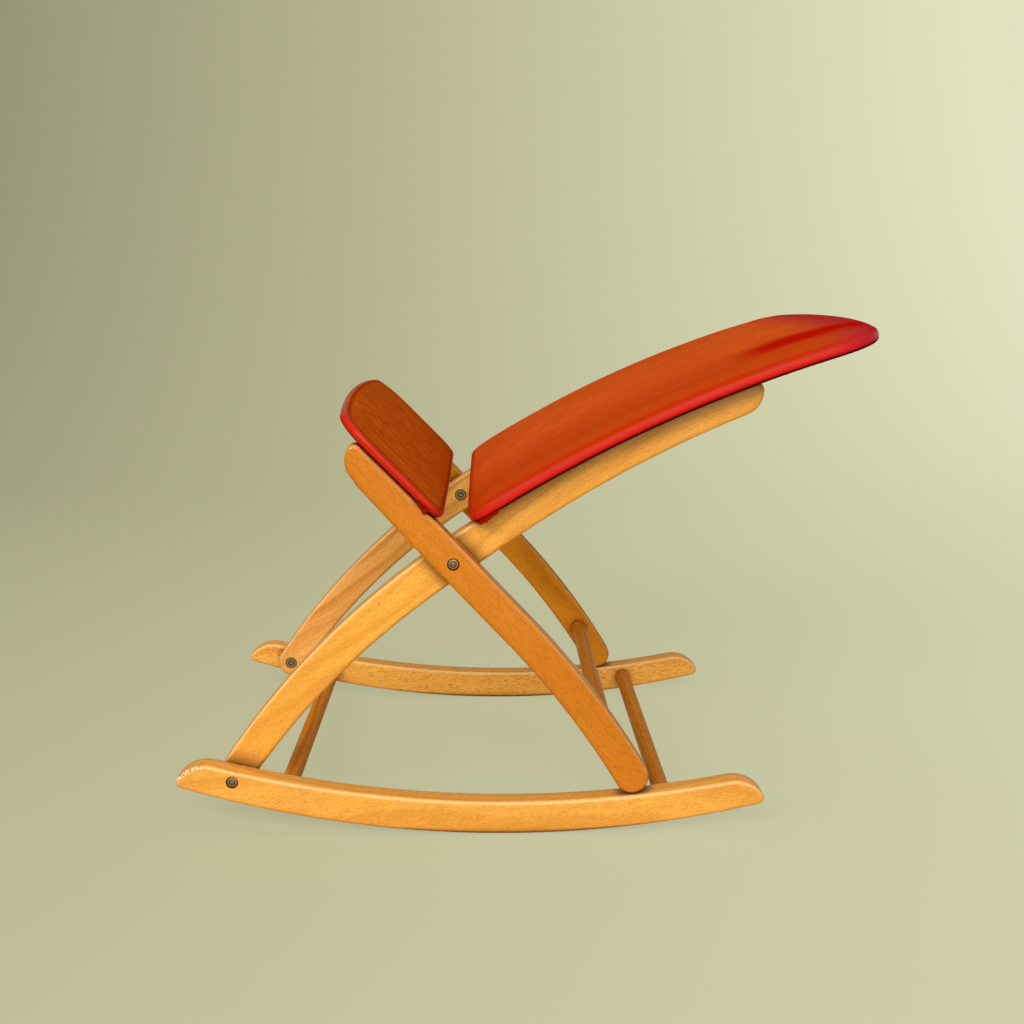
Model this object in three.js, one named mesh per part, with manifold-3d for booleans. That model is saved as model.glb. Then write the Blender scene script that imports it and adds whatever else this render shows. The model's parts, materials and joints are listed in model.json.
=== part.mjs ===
// Folding rocking leg rest: beech rockers and crossing rails, with two panels covered in red leathercloth.
// Millimetres. +X runs towards the end of the long panel, +Y to the left side, +Z up from the floor.
// Side views are worked out in the plane of X and Z, with angles counter-clockwise from +X.
import * as THREE from 'three';
import { mergeVertices } from 'three/addons/utils/BufferGeometryUtils.js';
import Module from 'manifold-3d';

const wasm = await Module();
wasm.setup();

// Whole frame
const frameWidth = 410; // over the outer faces of the rockers
const fitGap = 0.3; // between pieces that touch
const cutOverrun = 3; // how far a drill runs past the face that it leaves
const edgeRound = 4; // roundover along every wooden edge
const roundSteps = 2; // facets in that roundover
const endSteps = 10; // facets in the round end of a rail
const drillSides = 16;

// Rockers, symmetrical about their middle and standing a little past it
const rockerThickness = 23;
const rockerLength = 541;
const rockerHeight = 31; // at the middle
const rockerRadius = 981; // of the sole
const rockerTopRadius = 1056;
const rockerNoseRadius = 31; // of the rounded ends
const rockerToeRadius = 6; // where an end meets the sole
const rockerLean = THREE.MathUtils.degToRad(2.15);
const soleFacet = 19;
const rockerPivotPlace = 215; // from the middle to the long rails' bolts
const rockerPivotRise = 18.7; // of those bolts over the sole
const frontBarPlace = 168; // from the middle to each crossbar
const rearBarPlace = 177;
const rockerBarRise = 15.5; // of the crossbars over the sole
const locatingHoleRadius = 3.2;
const locatingHoleDepth = 7;
const locatingHoleSpacing = 39;

// Rails, whose upper edges are chains of arcs; a stretch is a length and a radius, right-hand bends negative
const railThickness = 21;
const pivotGap = 2; // between the two members at a pivot, filled by a washer
const longRailLower = 289.9; // along the upper edge, from the rocker's bolt to the centre bolt
const longRailUpper = 316; // from the centre bolt to the end under the panel
const longRailLowerRadius = 757;
const longRailUpperRadius = 1267;
const longRailFootWidth = 30.3;
const longRailWidth = 35; // at the centre bolt
const longRailTipWidth = 24.5;
const longRailTaper = 1.5; // power that quickens the narrowing just past the bolt
const longRailChordAngle = THREE.MathUtils.degToRad(47.01); // from the rocker's bolt to the centre bolt
const longRailSteps = 26;
const shortRailUpper = 137; // from its top end to the centre bolt
const shortRailUpperRadius = 3400;
const shortRailShank = 85; // straight on from the bolt
const shortRailCurve = 174; // bent stretch down to the foot
const shortRailCurveRadius = 800;
const shortRailTipWidth = 25.5;
const shortRailWidth = 30.5;
const shortRailSteps = 20;
const noseShare = 0.9; // wide arc of a rail's end under a panel, as a share of the rail's width there
const noseTightRadius = 7; // of the arc that takes it into the upper edge
const footGap = 0.5; // running gap between the feet and the rockers
const propBarPlace = 42; // from the middle of the foot up to the crossbar

// Turned crossbars
const barRadius = 8;
const tenonRadius = 5.5;
const tenonLength = 12;
const barSides = 18;

// Pivot bolts and sleeve nuts
const boltHeadRadius = 4.9;
const boltHeadRim = 1;
const boltHeadDome = 1.4;
const boltShankRadius = 2.2;
const boltRecessRadius = 5.6;
const boltRecessDepth = 3;
const sleeveRadius = 3.9;
const sleeveFlangeRadius = 6.3;
const sleeveFlangeThickness = 1.8;
const washerRadius = 9;
const hardwareSides = 16;

// Locating pins in the feet
const pinRadius = 2.4;
const pinLength = 16;

// Panels: a board, a pad on it, and a cover that wraps both and turns under the board's edge
const coverThickness = 1.2;
const hemWidth = 13;
const soleBevel = 4; // along the panel's lower edge
const boardInset = 5; // of the board from the panel's outline, for the wadding round its edge
const boardShare = 0.35; // of the rounded edge's rise that the board's thickness reaches into
const edgeFullness = 8; // power that squares the rounded upper edge
const ringCrowding = 0.5; // power that draws the section's points towards its sides
const panelRingPoints = 15;

const longPanelStart = 33; // from the centre bolt up to the lower end, along the rail
const longPanelLength = 405;
const longPanelLowerCorner = 20;
const longPanelUpperCorner = 60;
const longPanelBow = 11; // rise of the upper end's arc
const longPanelSide = 5; // height of the widest place on its rounded sides
const longPanelRounding = 10; // rise of the rounded upper edge
const longPanelCrown = 5; // further rise to the middle
const longPanelStations = 25;
const longScrewPlaces = { lower: 60, upper: 215 }; // from the panel's lower end

const shortPanelStart = 36;
const shortPanelLength = 134.5;
const shortPanelLowerCorner = 18;
const shortPanelUpperCorner = 42;
const shortPanelBow = 13;
const shortPanelSide = 5;
const shortPanelRounding = 5.5;
const shortPanelCrown = 3.5;
const shortPanelStations = 17;
const shortScrewPlaces = { lower: 30, upper: 76 };

// Panel screws
const screwHeadRadius = 4;
const screwHeadDepth = 2.6;
const screwRadius = 2;
const screwLength = 30;
const screwPoint = 4;
const screwSides = 12;

// Places across the frame
const rockerOuter = frameWidth / 2;
const rockerInner = rockerOuter - rockerThickness;
const rockerMiddle = (rockerOuter + rockerInner) / 2;
const longRailOuter = rockerInner - pivotGap;
const longRailInner = longRailOuter - railThickness;
const longRailMiddle = (longRailOuter + longRailInner) / 2;
const shortRailInner = rockerInner;
const shortRailOuter = shortRailInner + railThickness;
const shortRailMiddle = (shortRailOuter + shortRailInner) / 2;

const beech = { color: 0xf0a548, roughness: 0.38, metalness: 0 };
const darkBeech = { color: 0xd07f22, roughness: 0.42, metalness: 0 };
const agedBrass = { color: 0x5a4226, roughness: 0.45, metalness: 0.8 };
const steel = { color: 0x8c8880, roughness: 0.4, metalness: 0.9 };
const plywood = { color: 0xc79a63, roughness: 0.8, metalness: 0 };
const foam = { color: 0xd9cfb4, roughness: 0.95, metalness: 0 };
const redCloth = { color: 0xc23a16, roughness: 0.4, metalness: 0 };

// Side-view helpers

function point(x, z) {
  return new THREE.Vector2(x, z);
}

function direction(angle) {
  return point(Math.cos(angle), Math.sin(angle));
}

function bearing(from, to) {
  return Math.atan2(to.y - from.y, to.x - from.x);
}

// The place and heading reached after a distance along a chain of stretches that starts at zero
function walk(stretches, distance) {
  const place = point(0, 0);
  let heading = 0;
  let left = distance;
  stretches.forEach(([length, radius], index) => {
    const last = index === stretches.length - 1;
    const step = last ? left : Math.min(left, length);
    const turn = step / radius;
    const chord = turn === 0 ? step : 2 * radius * Math.sin(turn / 2);
    place.addScaledVector(direction(heading + turn / 2), chord);
    heading += turn;
    left -= step;
  });
  return { place, heading };
}

// A point at a distance along an edge and a depth below it
function belowEdge(stretches, distance, depth) {
  const { place, heading } = walk(stretches, distance);
  return place.addScaledVector(direction(heading - Math.PI / 2), depth);
}

function arcPoints(centre, radius, from, to, steps) {
  const points = [];
  for (let i = 0; i <= steps; i += 1) {
    const angle = from + (to - from) * i / steps;
    points.push(centre.clone().addScaledVector(direction(angle), radius));
  }
  return points;
}

// Where two circles cross, on the right of the line from the first centre to the second
function crossing(centreA, radiusA, centreB, radiusB) {
  const distance = centreA.distanceTo(centreB);
  const along = (distance ** 2 + radiusA ** 2 - radiusB ** 2) / (2 * distance);
  const aside = Math.sqrt(radiusA ** 2 - along ** 2);
  const heading = bearing(centreA, centreB);
  return centreA.clone()
    .addScaledVector(direction(heading), along)
    .addScaledVector(direction(heading - Math.PI / 2), aside);
}

// Solid helpers

function solid(geometry) {
  geometry.deleteAttribute('normal');
  geometry.deleteAttribute('uv');
  const merged = mergeVertices(geometry);
  const index = merged.getIndex().array;
  const kept = [];
  for (let i = 0; i < index.length; i += 3) {
    const [a, b, c] = [index[i], index[i + 1], index[i + 2]];
    if (a !== b && b !== c && c !== a) kept.push(a, b, c);
  }
  return new wasm.Manifold(new wasm.Mesh({
    numProp: 3,
    vertProperties: Float32Array.from(merged.getAttribute('position').array),
    triVerts: Uint32Array.from(kept),
  }));
}

function cut(body, tools) {
  return tools.reduce((left, tool) => left.subtract(tool), body);
}

function piece(name, body, look) {
  const mesh = body.getMesh();
  const geometry = new THREE.BufferGeometry();
  geometry.setAttribute('position', new THREE.BufferAttribute(mesh.vertProperties, mesh.numProp));
  geometry.setIndex(new THREE.BufferAttribute(mesh.triVerts, 1));
  geometry.computeVertexNormals();
  const result = new THREE.Mesh(geometry, new THREE.MeshStandardMaterial(look));
  result.name = name;
  return result;
}

// A side-view outline as a board across Y, with every edge rounded over
function plank(outline, thickness, middle) {
  const geometry = new THREE.ExtrudeGeometry(new THREE.Shape(outline), {
    depth: thickness - 2 * edgeRound,
    steps: 1,
    bevelThickness: edgeRound,
    bevelSize: edgeRound,
    bevelOffset: -edgeRound,
    bevelSegments: roundSteps,
  });
  geometry.translate(0, 0, edgeRound - thickness / 2);
  geometry.rotateX(Math.PI / 2);
  geometry.translate(0, middle, 0);
  return solid(geometry);
}

// A solid of revolution about Y; each pair is a radius and a place along Y, in rising order
function turned(pairs, sides) {
  const profile = pairs.map(([radius, along]) => new THREE.Vector2(radius, along));
  return new THREE.LatheGeometry(profile, sides);
}

// The same, set at a side-view point and, for the right side of the frame, turned to face the other way
function turnedAt(pairs, sides, centre, across, side) {
  const geometry = turned(pairs, sides);
  if (side < 0) geometry.rotateX(Math.PI);
  geometry.translate(centre.x, side * across, centre.y);
  return solid(geometry);
}

// A drill along Y that opens in the outward direction from a depth to a face
function drillAcross(radius, deep, face, centre, side) {
  const pairs = [[0, deep], [radius, deep], [radius, face + cutOverrun], [0, face + cutOverrun]];
  return turnedAt(pairs, drillSides, centre, 0, side);
}

// The same from the inner face, running outwards from the middle of the frame
function drillOutward(radius, face, deep, centre, side) {
  const pairs = [[0, face - cutOverrun], [radius, face - cutOverrun], [radius, deep], [0, deep]];
  return turnedAt(pairs, drillSides, centre, 0, side);
}

// A turned shape in the side-view plane, whose own Y points along an angle
function turnedInPlane(pairs, sides, base, angle, across) {
  const geometry = turned(pairs, sides);
  geometry.rotateX(Math.PI / 2);
  geometry.rotateY(Math.PI / 2 - angle);
  geometry.translate(base.x, across, base.y);
  return solid(geometry);
}

// Rockers

const soleCentre = point(0, rockerRadius);
const topCentre = point(0, rockerHeight + rockerTopRadius);

function onSole(place, rise) {
  const radius = rockerRadius - rise;
  return point(place, rockerRadius - Math.sqrt(radius ** 2 - place ** 2));
}

function rockerOutline() {
  const noseAngle = Math.asin((rockerLength / 2 - rockerNoseRadius) / (rockerTopRadius + rockerNoseRadius));
  const nose = topCentre.clone()
    .addScaledVector(direction(noseAngle - Math.PI / 2), rockerTopRadius + rockerNoseRadius);
  const toe = crossing(
    nose, rockerNoseRadius - rockerToeRadius, soleCentre, rockerRadius - rockerToeRadius);
  const right = [
    ...arcPoints(toe, rockerToeRadius, bearing(soleCentre, toe), bearing(nose, toe), endSteps / 2),
    ...arcPoints(nose, rockerNoseRadius, bearing(nose, toe), bearing(nose, topCentre), endSteps).slice(1),
  ];
  const left = right.map((corner) => point(-corner.x, corner.y)).reverse();
  const topSteps = Math.round(rockerLength / soleFacet);
  const top = arcPoints(topCentre, rockerTopRadius, noseAngle - Math.PI / 2, -noseAngle - Math.PI / 2, topSteps);
  return [...solePoints(right[0].x), ...right, ...top.slice(1, -1), ...left];
}

// The sole's corners, laid out so that one facet lies flat on the floor at the point of rest
function solePoints(reach) {
  const step = soleFacet / rockerRadius;
  const points = [];
  const count = Math.ceil(reach / soleFacet) * 2;
  for (let i = -count; i <= count; i += 1) {
    const angle = rockerLean + (i + 0.5) * step - Math.PI / 2;
    const corner = soleCentre.clone().addScaledVector(direction(angle), rockerRadius);
    if (Math.abs(corner.x) < reach - soleFacet / 4) points.push(corner);
  }
  return points;
}

const rockerPivot = onSole(-rockerPivotPlace, rockerPivotRise);
const frontBar = onSole(-frontBarPlace, rockerBarRise);
const rearBar = onSole(rearBarPlace, rockerBarRise);

// Rails in their own side views; the upper edge of each starts at zero and runs along +X

const longEdge = [[longRailLower, -longRailLowerRadius], [longRailUpper, -longRailUpperRadius]];
const longFootCentre = belowEdge(longEdge, 0, longRailFootWidth / 2);
const longCentreBolt = belowEdge(longEdge, longRailLower, longRailWidth / 2);

function longRailWidthAt(distance) {
  const belowBolt = longRailFootWidth + (longRailWidth - longRailFootWidth) * distance / longRailLower;
  const toTip = Math.max(1 - (distance - longRailLower) / longRailUpper, 0);
  const aboveBolt = longRailTipWidth + (longRailWidth - longRailTipWidth) * toTip ** longRailTaper;
  return distance < longRailLower ? belowBolt : aboveBolt;
}

const shortEdge = [
  [shortRailUpper, -shortRailUpperRadius],
  [shortRailShank, Infinity],
  [shortRailCurve, -shortRailCurveRadius],
];
const shortRailTotal = shortRailUpper + shortRailShank + shortRailCurve;
const shortCentreBolt = belowEdge(shortEdge, shortRailUpper, shortRailWidth / 2);
const footCentre = belowEdge(shortEdge, shortRailTotal, shortRailWidth / 2);

function shortRailWidthAt(distance) {
  const share = Math.min(distance / shortRailUpper, 1);
  return shortRailTipWidth + (shortRailWidth - shortRailTipWidth) * Math.sin(share * Math.PI / 2);
}

// A rail's end under a panel: a wide arc from the lower edge, then a tight one into the upper edge.
// The sense is 1 for the far end and -1 for the near one, which is drawn the other way round.
function noseArcs(stretches, end, width, sense) {
  const wideRadius = noseShare * width;
  const drop = noseTightRadius + wideRadius - width;
  const run = Math.sqrt((wideRadius - noseTightRadius) ** 2 - drop ** 2);
  const upperAt = end - sense * noseTightRadius;
  const lowerAt = upperAt - sense * run;
  const tight = belowEdge(stretches, upperAt, noseTightRadius);
  const wide = belowEdge(stretches, lowerAt, width - wideRadius);
  const heading = walk(stretches, end).heading;
  const up = heading + Math.PI / 2;
  const down = up - sense * Math.PI;
  const turn = sense > 0 ? 0 : 2 * Math.PI;
  const meeting = bearing(wide, tight) + turn;
  const wideArc = arcPoints(wide, wideRadius, down, meeting, endSteps);
  const tightArc = arcPoints(tight, noseTightRadius, meeting, up, endSteps / 2);
  const corners = [...wideArc, ...tightArc.slice(1)];
  return { corners: sense > 0 ? corners : corners.reverse(), lowerAt, upperAt };
}

// The half-round end of a rail about its bolt or foot, drawn the same way
function roundEnd(stretches, end, width, sense) {
  const from = walk(stretches, end).heading - sense * Math.PI / 2;
  const corners = arcPoints(
    belowEdge(stretches, end, width / 2), width / 2, from, from + Math.PI, endSteps);
  return { corners, lowerAt: end, upperAt: end };
}

function railOutline(stretches, length, widthAt, steps, farEnd, nearEnd) {
  const distances = Array.from({ length: steps + 1 }, (_, i) => length * i / steps);
  const far = farEnd(stretches, length, widthAt(length), 1);
  const near = nearEnd(stretches, 0, widthAt(0), -1);
  const lower = distances.filter((distance) => distance > near.lowerAt && distance < far.lowerAt)
    .map((distance) => belowEdge(stretches, distance, widthAt(distance)));
  const upper = distances.filter((distance) => distance > near.upperAt && distance < far.upperAt)
    .map((distance) => walk(stretches, distance).place);
  return [...lower, ...far.corners, ...upper.reverse(), ...near.corners];
}

// Places of the rails on the rockers: the long rails at their chosen slope, the short rails standing on the
// rockers' upper faces, so their feet lie where two circles cross

const longTurn = longRailChordAngle - bearing(longFootCentre, longCentreBolt);
const boltSpacing = longFootCentre.distanceTo(longCentreBolt);
const centreBolt = rockerPivot.clone().addScaledVector(direction(longRailChordAngle), boltSpacing);
const footReach = footCentre.distanceTo(shortCentreBolt);
const footRadius = shortRailWidth / 2;
const foot = crossing(centreBolt, footReach, topCentre, rockerTopRadius - footRadius - footGap);
const shortTurn = bearing(centreBolt, foot) - bearing(shortCentreBolt, footCentre);
const footDown = bearing(topCentre, foot);

// A group that carries one rail's side view: its origin goes to a place in the rockers' side view
function hung(origin, place, turn) {
  const shifted = new THREE.Group();
  shifted.position.set(-origin.x, 0, -origin.y);
  const group = new THREE.Group();
  group.rotation.y = -turn;
  group.position.set(place.x, 0, place.y);
  group.add(shifted);
  return { group, shifted };
}

// Pivot hardware

// A domed bolt whose head lies in a recess in the outer face and whose end shows in the sleeve nut
function pivotBolt(name, centre, outer, inner, side) {
  const seat = outer - boltRecessDepth + fitGap;
  return piece(name, turnedAt([
    [0, inner + fitGap],
    [boltShankRadius, inner + fitGap],
    [boltShankRadius, seat],
    [boltHeadRadius, seat],
    [boltHeadRadius, seat + boltHeadRim],
    [boltHeadRadius * Math.SQRT1_2, seat + boltHeadRim + boltHeadDome * Math.SQRT1_2],
    [0, seat + boltHeadRim + boltHeadDome],
  ], hardwareSides, centre, 0, side), agedBrass);
}

function sleeveNut(name, centre, outer, inner, side) {
  const bore = boltShankRadius + fitGap;
  const flange = inner + sleeveFlangeThickness;
  const end = outer - boltRecessDepth;
  return piece(name, turnedAt([
    [bore, inner],
    [sleeveFlangeRadius, inner],
    [sleeveFlangeRadius, flange],
    [sleeveRadius, flange],
    [sleeveRadius, end],
    [bore, end],
    [bore, inner],
  ], hardwareSides, centre, 0, side), agedBrass);
}

function spacerWasher(name, centre, side) {
  const bore = sleeveRadius + fitGap;
  const low = longRailOuter + fitGap;
  const high = rockerInner - fitGap;
  return piece(name, turnedAt([
    [bore, low], [washerRadius, low], [washerRadius, high], [bore, high], [bore, low],
  ], hardwareSides, centre, 0, side), steel);
}

function sleeveBore(centre, low, high, side) {
  return turnedAt([
    [0, low - cutOverrun],
    [sleeveRadius + fitGap, low - cutOverrun],
    [sleeveRadius + fitGap, high + cutOverrun],
    [0, high + cutOverrun],
  ], drillSides, centre, 0, side);
}

function boltRecess(centre, outer, side) {
  return drillAcross(boltRecessRadius, outer - boltRecessDepth, outer, centre, side);
}

function flangeRecess(centre, side) {
  const deep = longRailInner + sleeveFlangeThickness + fitGap;
  return drillOutward(sleeveFlangeRadius + fitGap, longRailInner, deep, centre, side);
}

function tenonSocket(centre, inner, side) {
  return drillOutward(tenonRadius + fitGap, inner, inner + tenonLength + fitGap, centre, side);
}

// A dowel between two inner faces, with a tenon at each end
function crossbar(name, centre, inner) {
  const shoulder = inner - fitGap;
  const end = inner + tenonLength;
  return piece(name, turnedAt([
    [0, -end],
    [tenonRadius, -end],
    [tenonRadius, -shoulder],
    [barRadius, -shoulder],
    [barRadius, shoulder],
    [tenonRadius, shoulder],
    [tenonRadius, end],
    [0, end],
  ], barSides, centre, 0, 1), darkBeech);
}

// Panels

// Half the width at a distance from a straight end with round corners
function straightEnd(distance, halfWidth, corner) {
  const past = Math.max(corner - distance, 0);
  return halfWidth - corner + Math.sqrt(Math.max(corner ** 2 - past ** 2, 0));
}

// The same for an end that is one long arc between round corners
function bowedEnd(distance, halfWidth, corner, bowRadius) {
  const across = halfWidth - corner;
  const centre = bowRadius - Math.sqrt((bowRadius - corner) ** 2 - across ** 2);
  const touch = bowRadius - (bowRadius - centre) * bowRadius / (bowRadius - corner);
  if (distance > touch) return across + Math.sqrt(corner ** 2 - Math.max(centre - distance, 0) ** 2);
  return Math.sqrt(Math.max(bowRadius ** 2 - (bowRadius - distance) ** 2, 0));
}

// Half a panel's width at a place along it, with the whole outline drawn in by an inset
function halfWidthAt(panel, along, inset) {
  const halfWidth = rockerOuter;
  const bowRadius = (halfWidth ** 2 + panel.bow ** 2) / (2 * panel.bow);
  const lower = straightEnd(along - inset, halfWidth - inset, Math.max(panel.startCorner - inset, 0));
  const upper = bowedEnd(
    panel.length - along - inset, halfWidth - inset, panel.endCorner - inset, bowRadius - inset);
  return Math.min(lower, upper);
}

// How far the rounded upper edge has risen, from 0 at the rim to 1 in the middle
function fullness(offset) {
  return (1 - Math.abs(offset) ** edgeFullness) ** (1 / edgeFullness);
}

// Closed rings of points joined along a panel, with flat ends
function lofted(rings) {
  const size = rings[0].length;
  const positions = rings.flat().flatMap((corner) => corner.toArray());
  const index = [];
  for (let ring = 0; ring < rings.length - 1; ring += 1) {
    for (let i = 0; i < size; i += 1) {
      const next = (i + 1) % size;
      const [a, b] = [ring * size + i, ring * size + next];
      const [c, d] = [a + size, b + size];
      index.push(a, b, d, a, d, c);
    }
  }
  const last = (rings.length - 1) * size;
  for (let i = 1; i < size - 1; i += 1) {
    index.push(0, i + 1, i);
    index.push(last, last + i, last + i + 1);
  }
  const geometry = new THREE.BufferGeometry();
  geometry.setAttribute('position', new THREE.Float32BufferAttribute(positions, 3));
  geometry.setIndex(index);
  return solid(geometry);
}

// Distances along a panel, closer together towards its rounded ends
function stationsAlong(length, inset, count) {
  const reach = length - 2 * inset;
  return Array.from({ length: count }, (_, i) => inset + reach * (1 - Math.cos(Math.PI * i / (count - 1))) / 2);
}

// The panel's shape drawn in by an inset, from a bottom height up to its crowned top
function cushionSolid(panel, inset, bottom, bevel) {
  const rings = stationsAlong(panel.length, inset, panel.stations).map((along) => {
    const halfWidth = halfWidthAt(panel, along, inset);
    const chamfer = Math.min(bevel, halfWidth);
    const along01 = 2 * along / panel.length - 1;
    const alongRise = fullness(2 * (along - inset) / (panel.length - 2 * inset) - 1);
    const ring = [
      [-halfWidth + chamfer, bottom],
      [halfWidth - chamfer, bottom],
      [halfWidth, bottom + chamfer],
    ];
    for (let i = 0; i < panelRingPoints; i += 1) {
      const angle = Math.PI * i / (panelRingPoints - 1);
      const across01 = Math.sign(Math.cos(angle)) * Math.abs(Math.cos(angle)) ** ringCrowding;
      const crown = panel.crown * (1 - across01 ** 2) * (1 - along01 ** 2);
      const rise = (panel.rounding - inset) * fullness(across01) * alongRise;
      ring.push([halfWidth * across01, panel.side + rise + crown]);
    }
    ring.push([-halfWidth, bottom + chamfer]);
    return ring.map(([across, height]) => panel.place(along, across, height));
  });
  return lofted(rings);
}

// A flat-sided slab that follows the panel's outline between two heights
function slabSolid(panel, inset, bottom, top) {
  const rings = stationsAlong(panel.length, inset, panel.stations).map((along) => {
    const halfWidth = halfWidthAt(panel, along, inset);
    return [
      panel.place(along, -halfWidth, bottom),
      panel.place(along, halfWidth, bottom),
      panel.place(along, halfWidth, top),
      panel.place(along, -halfWidth, top),
    ];
  });
  return lofted(rings);
}

// The board and pad lie inside the cover with a fitting gap all round
const linedInset = coverThickness + fitGap;

function boardTop(panel) {
  return panel.side - linedInset + boardShare * panel.rounding;
}

// The bevel of a shape drawn in by an inset, which keeps an even wall at the outer bevel
function innerBevel(inset) {
  return soleBevel - inset * (2 - Math.SQRT2);
}

function screwPairs(grow) {
  const radius = screwRadius + grow;
  const head = screwHeadRadius + grow;
  return [
    [0, -screwLength - grow],
    [radius, -screwLength + screwPoint],
    [radius, -screwHeadDepth],
    [head, 0],
    [0, 0],
  ];
}

// The hole for a screw, with its countersink run out past the board's face
function screwHole(panel, along, across) {
  const { base, angle } = panel.frameAt(along, boardTop(panel));
  const head = screwHeadRadius + fitGap;
  const pairs = [...screwPairs(fitGap).slice(0, -1), [head, cutOverrun], [0, cutOverrun]];
  return turnedInPlane(pairs, screwSides, base, angle, across);
}

function panelScrew(name, panel, along, across) {
  const { base, angle } = panel.frameAt(along, boardTop(panel));
  return piece(name, turnedInPlane(screwPairs(0), screwSides, base, angle, across), steel);
}

// A panel described on a rail's upper edge: its heights start a fitting gap above that edge
function makePanel(shape, stretches, originDistance, sense) {
  const frameAt = (along, height) => {
    const { place, heading } = walk(stretches, originDistance + sense * along);
    const angle = heading + Math.PI / 2;
    return { base: place.addScaledVector(direction(angle), fitGap + height), angle };
  };
  const place = (along, across, height) => {
    const { base } = frameAt(along, height);
    return new THREE.Vector3(base.x, sense * across, base.y);
  };
  return { ...shape, frameAt, place };
}

const longPanel = makePanel({
  length: longPanelLength,
  startCorner: longPanelLowerCorner,
  endCorner: longPanelUpperCorner,
  bow: longPanelBow,
  side: longPanelSide,
  rounding: longPanelRounding,
  crown: longPanelCrown,
  stations: longPanelStations,
}, longEdge, longRailLower + longPanelStart, 1);

const shortPanel = makePanel({
  length: shortPanelLength,
  startCorner: shortPanelLowerCorner,
  endCorner: shortPanelUpperCorner,
  bow: shortPanelBow,
  side: shortPanelSide,
  rounding: shortPanelRounding,
  crown: shortPanelCrown,
  stations: shortPanelStations,
}, shortEdge, shortRailUpper - shortPanelStart, -1);

function panelPieces(name, panel, screws, railMiddle) {
  const places = Object.entries(screws).flatMap(([where, along]) => [
    { side: 'left', across: railMiddle, where, along },
    { side: 'right', across: -railMiddle, where, along },
  ]);
  const outside = cushionSolid(panel, 0, 0, soleBevel);
  const inside = cushionSolid(panel, coverThickness, coverThickness, innerBevel(coverThickness));
  const window = slabSolid(panel, hemWidth, -cutOverrun, linedInset + cutOverrun);
  const board = slabSolid(panel, boardInset, linedInset, boardTop(panel));
  const boardSpace = slabSolid(panel, boardInset - fitGap, -cutOverrun, boardTop(panel) + fitGap);
  const pad = cushionSolid(panel, linedInset, linedInset, innerBevel(linedInset)).subtract(boardSpace);
  const holes = places.map((at) => screwHole(panel, at.along, at.across));
  return [
    piece(`${name}_cover`, cut(outside, [inside, window, ...holes]), redCloth),
    piece(`${name}_pad`, pad, foam),
    piece(`${name}_board`, cut(board, holes), plywood),
    ...places.map((at) => panelScrew(`${name}_screw_${at.side}_${at.where}`, panel, at.along, at.across)),
  ];
}

function pilotHoles(panel, screws, across) {
  return Object.values(screws).map((along) => screwHole(panel, along, across));
}

// Each side of the frame

const sides = [{ label: 'left', side: 1 }, { label: 'right', side: -1 }];

function rocker(label, side) {
  const body = plank(rockerOutline(), rockerThickness, side * rockerMiddle);
  const holes = [-1, 0, 1].map((step) => {
    const angle = footDown + step * locatingHoleSpacing / rockerTopRadius;
    const mouth = topCentre.clone().addScaledVector(direction(angle), rockerTopRadius);
    const pairs = [
      [0, -cutOverrun],
      [locatingHoleRadius, -cutOverrun],
      [locatingHoleRadius, locatingHoleDepth],
      [0, locatingHoleDepth],
    ];
    return turnedInPlane(pairs, drillSides, mouth, angle, side * rockerMiddle);
  });
  return piece(`rocker_${label}`, cut(body, [
    sleeveBore(rockerPivot, rockerInner, rockerOuter, side),
    boltRecess(rockerPivot, rockerOuter, side),
    tenonSocket(frontBar, rockerInner, side),
    tenonSocket(rearBar, rockerInner, side),
    ...holes,
  ]), beech);
}

function longRail(label, side) {
  const outline = railOutline(
    longEdge, longRailLower + longRailUpper, longRailWidthAt, longRailSteps, noseArcs, roundEnd);
  const body = plank(outline, railThickness, side * longRailMiddle);
  return piece(`long_rail_${label}`, cut(body, [
    sleeveBore(longFootCentre, longRailInner, longRailOuter, side),
    sleeveBore(longCentreBolt, longRailInner, longRailOuter, side),
    flangeRecess(longFootCentre, side),
    flangeRecess(longCentreBolt, side),
    ...pilotHoles(longPanel, longScrewPlaces, side * longRailMiddle),
  ]), beech);
}

const footPinAngle = footDown - shortTurn;

function footPinPairs(grow) {
  const tip = footRadius;
  return [
    [0, tip - pinLength - grow],
    [pinRadius + grow, tip - pinLength - grow],
    [pinRadius + grow, tip - pinRadius + grow],
    [(pinRadius + grow) * Math.SQRT1_2, tip - pinRadius * (1 - Math.SQRT1_2)],
    [0, tip],
  ];
}

function shortRail(label, side) {
  const outline = railOutline(
    shortEdge, shortRailTotal, shortRailWidthAt, shortRailSteps, roundEnd, noseArcs);
  const body = plank(outline, railThickness, side * shortRailMiddle);
  const pinHole = [...footPinPairs(fitGap).slice(0, 2),
    [pinRadius + fitGap, footRadius + cutOverrun], [0, footRadius + cutOverrun]];
  return piece(`short_rail_${label}`, cut(body, [
    sleeveBore(shortCentreBolt, shortRailInner, shortRailOuter, side),
    boltRecess(shortCentreBolt, shortRailOuter, side),
    tenonSocket(propBar, shortRailInner, side),
    turnedInPlane(pinHole, drillSides, footCentre, footPinAngle, side * shortRailMiddle),
    ...pilotHoles(shortPanel, shortScrewPlaces, side * shortRailMiddle),
  ]), darkBeech);
}

const propBar = belowEdge(shortEdge, shortRailTotal - propBarPlace, shortRailWidth / 2);

function footPin(label, side) {
  const body = turnedInPlane(
    footPinPairs(0), hardwareSides, footCentre, footPinAngle, side * shortRailMiddle);
  return piece(`foot_pin_${label}`, body, steel);
}

// The assembly, leaning at its point of rest

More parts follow.
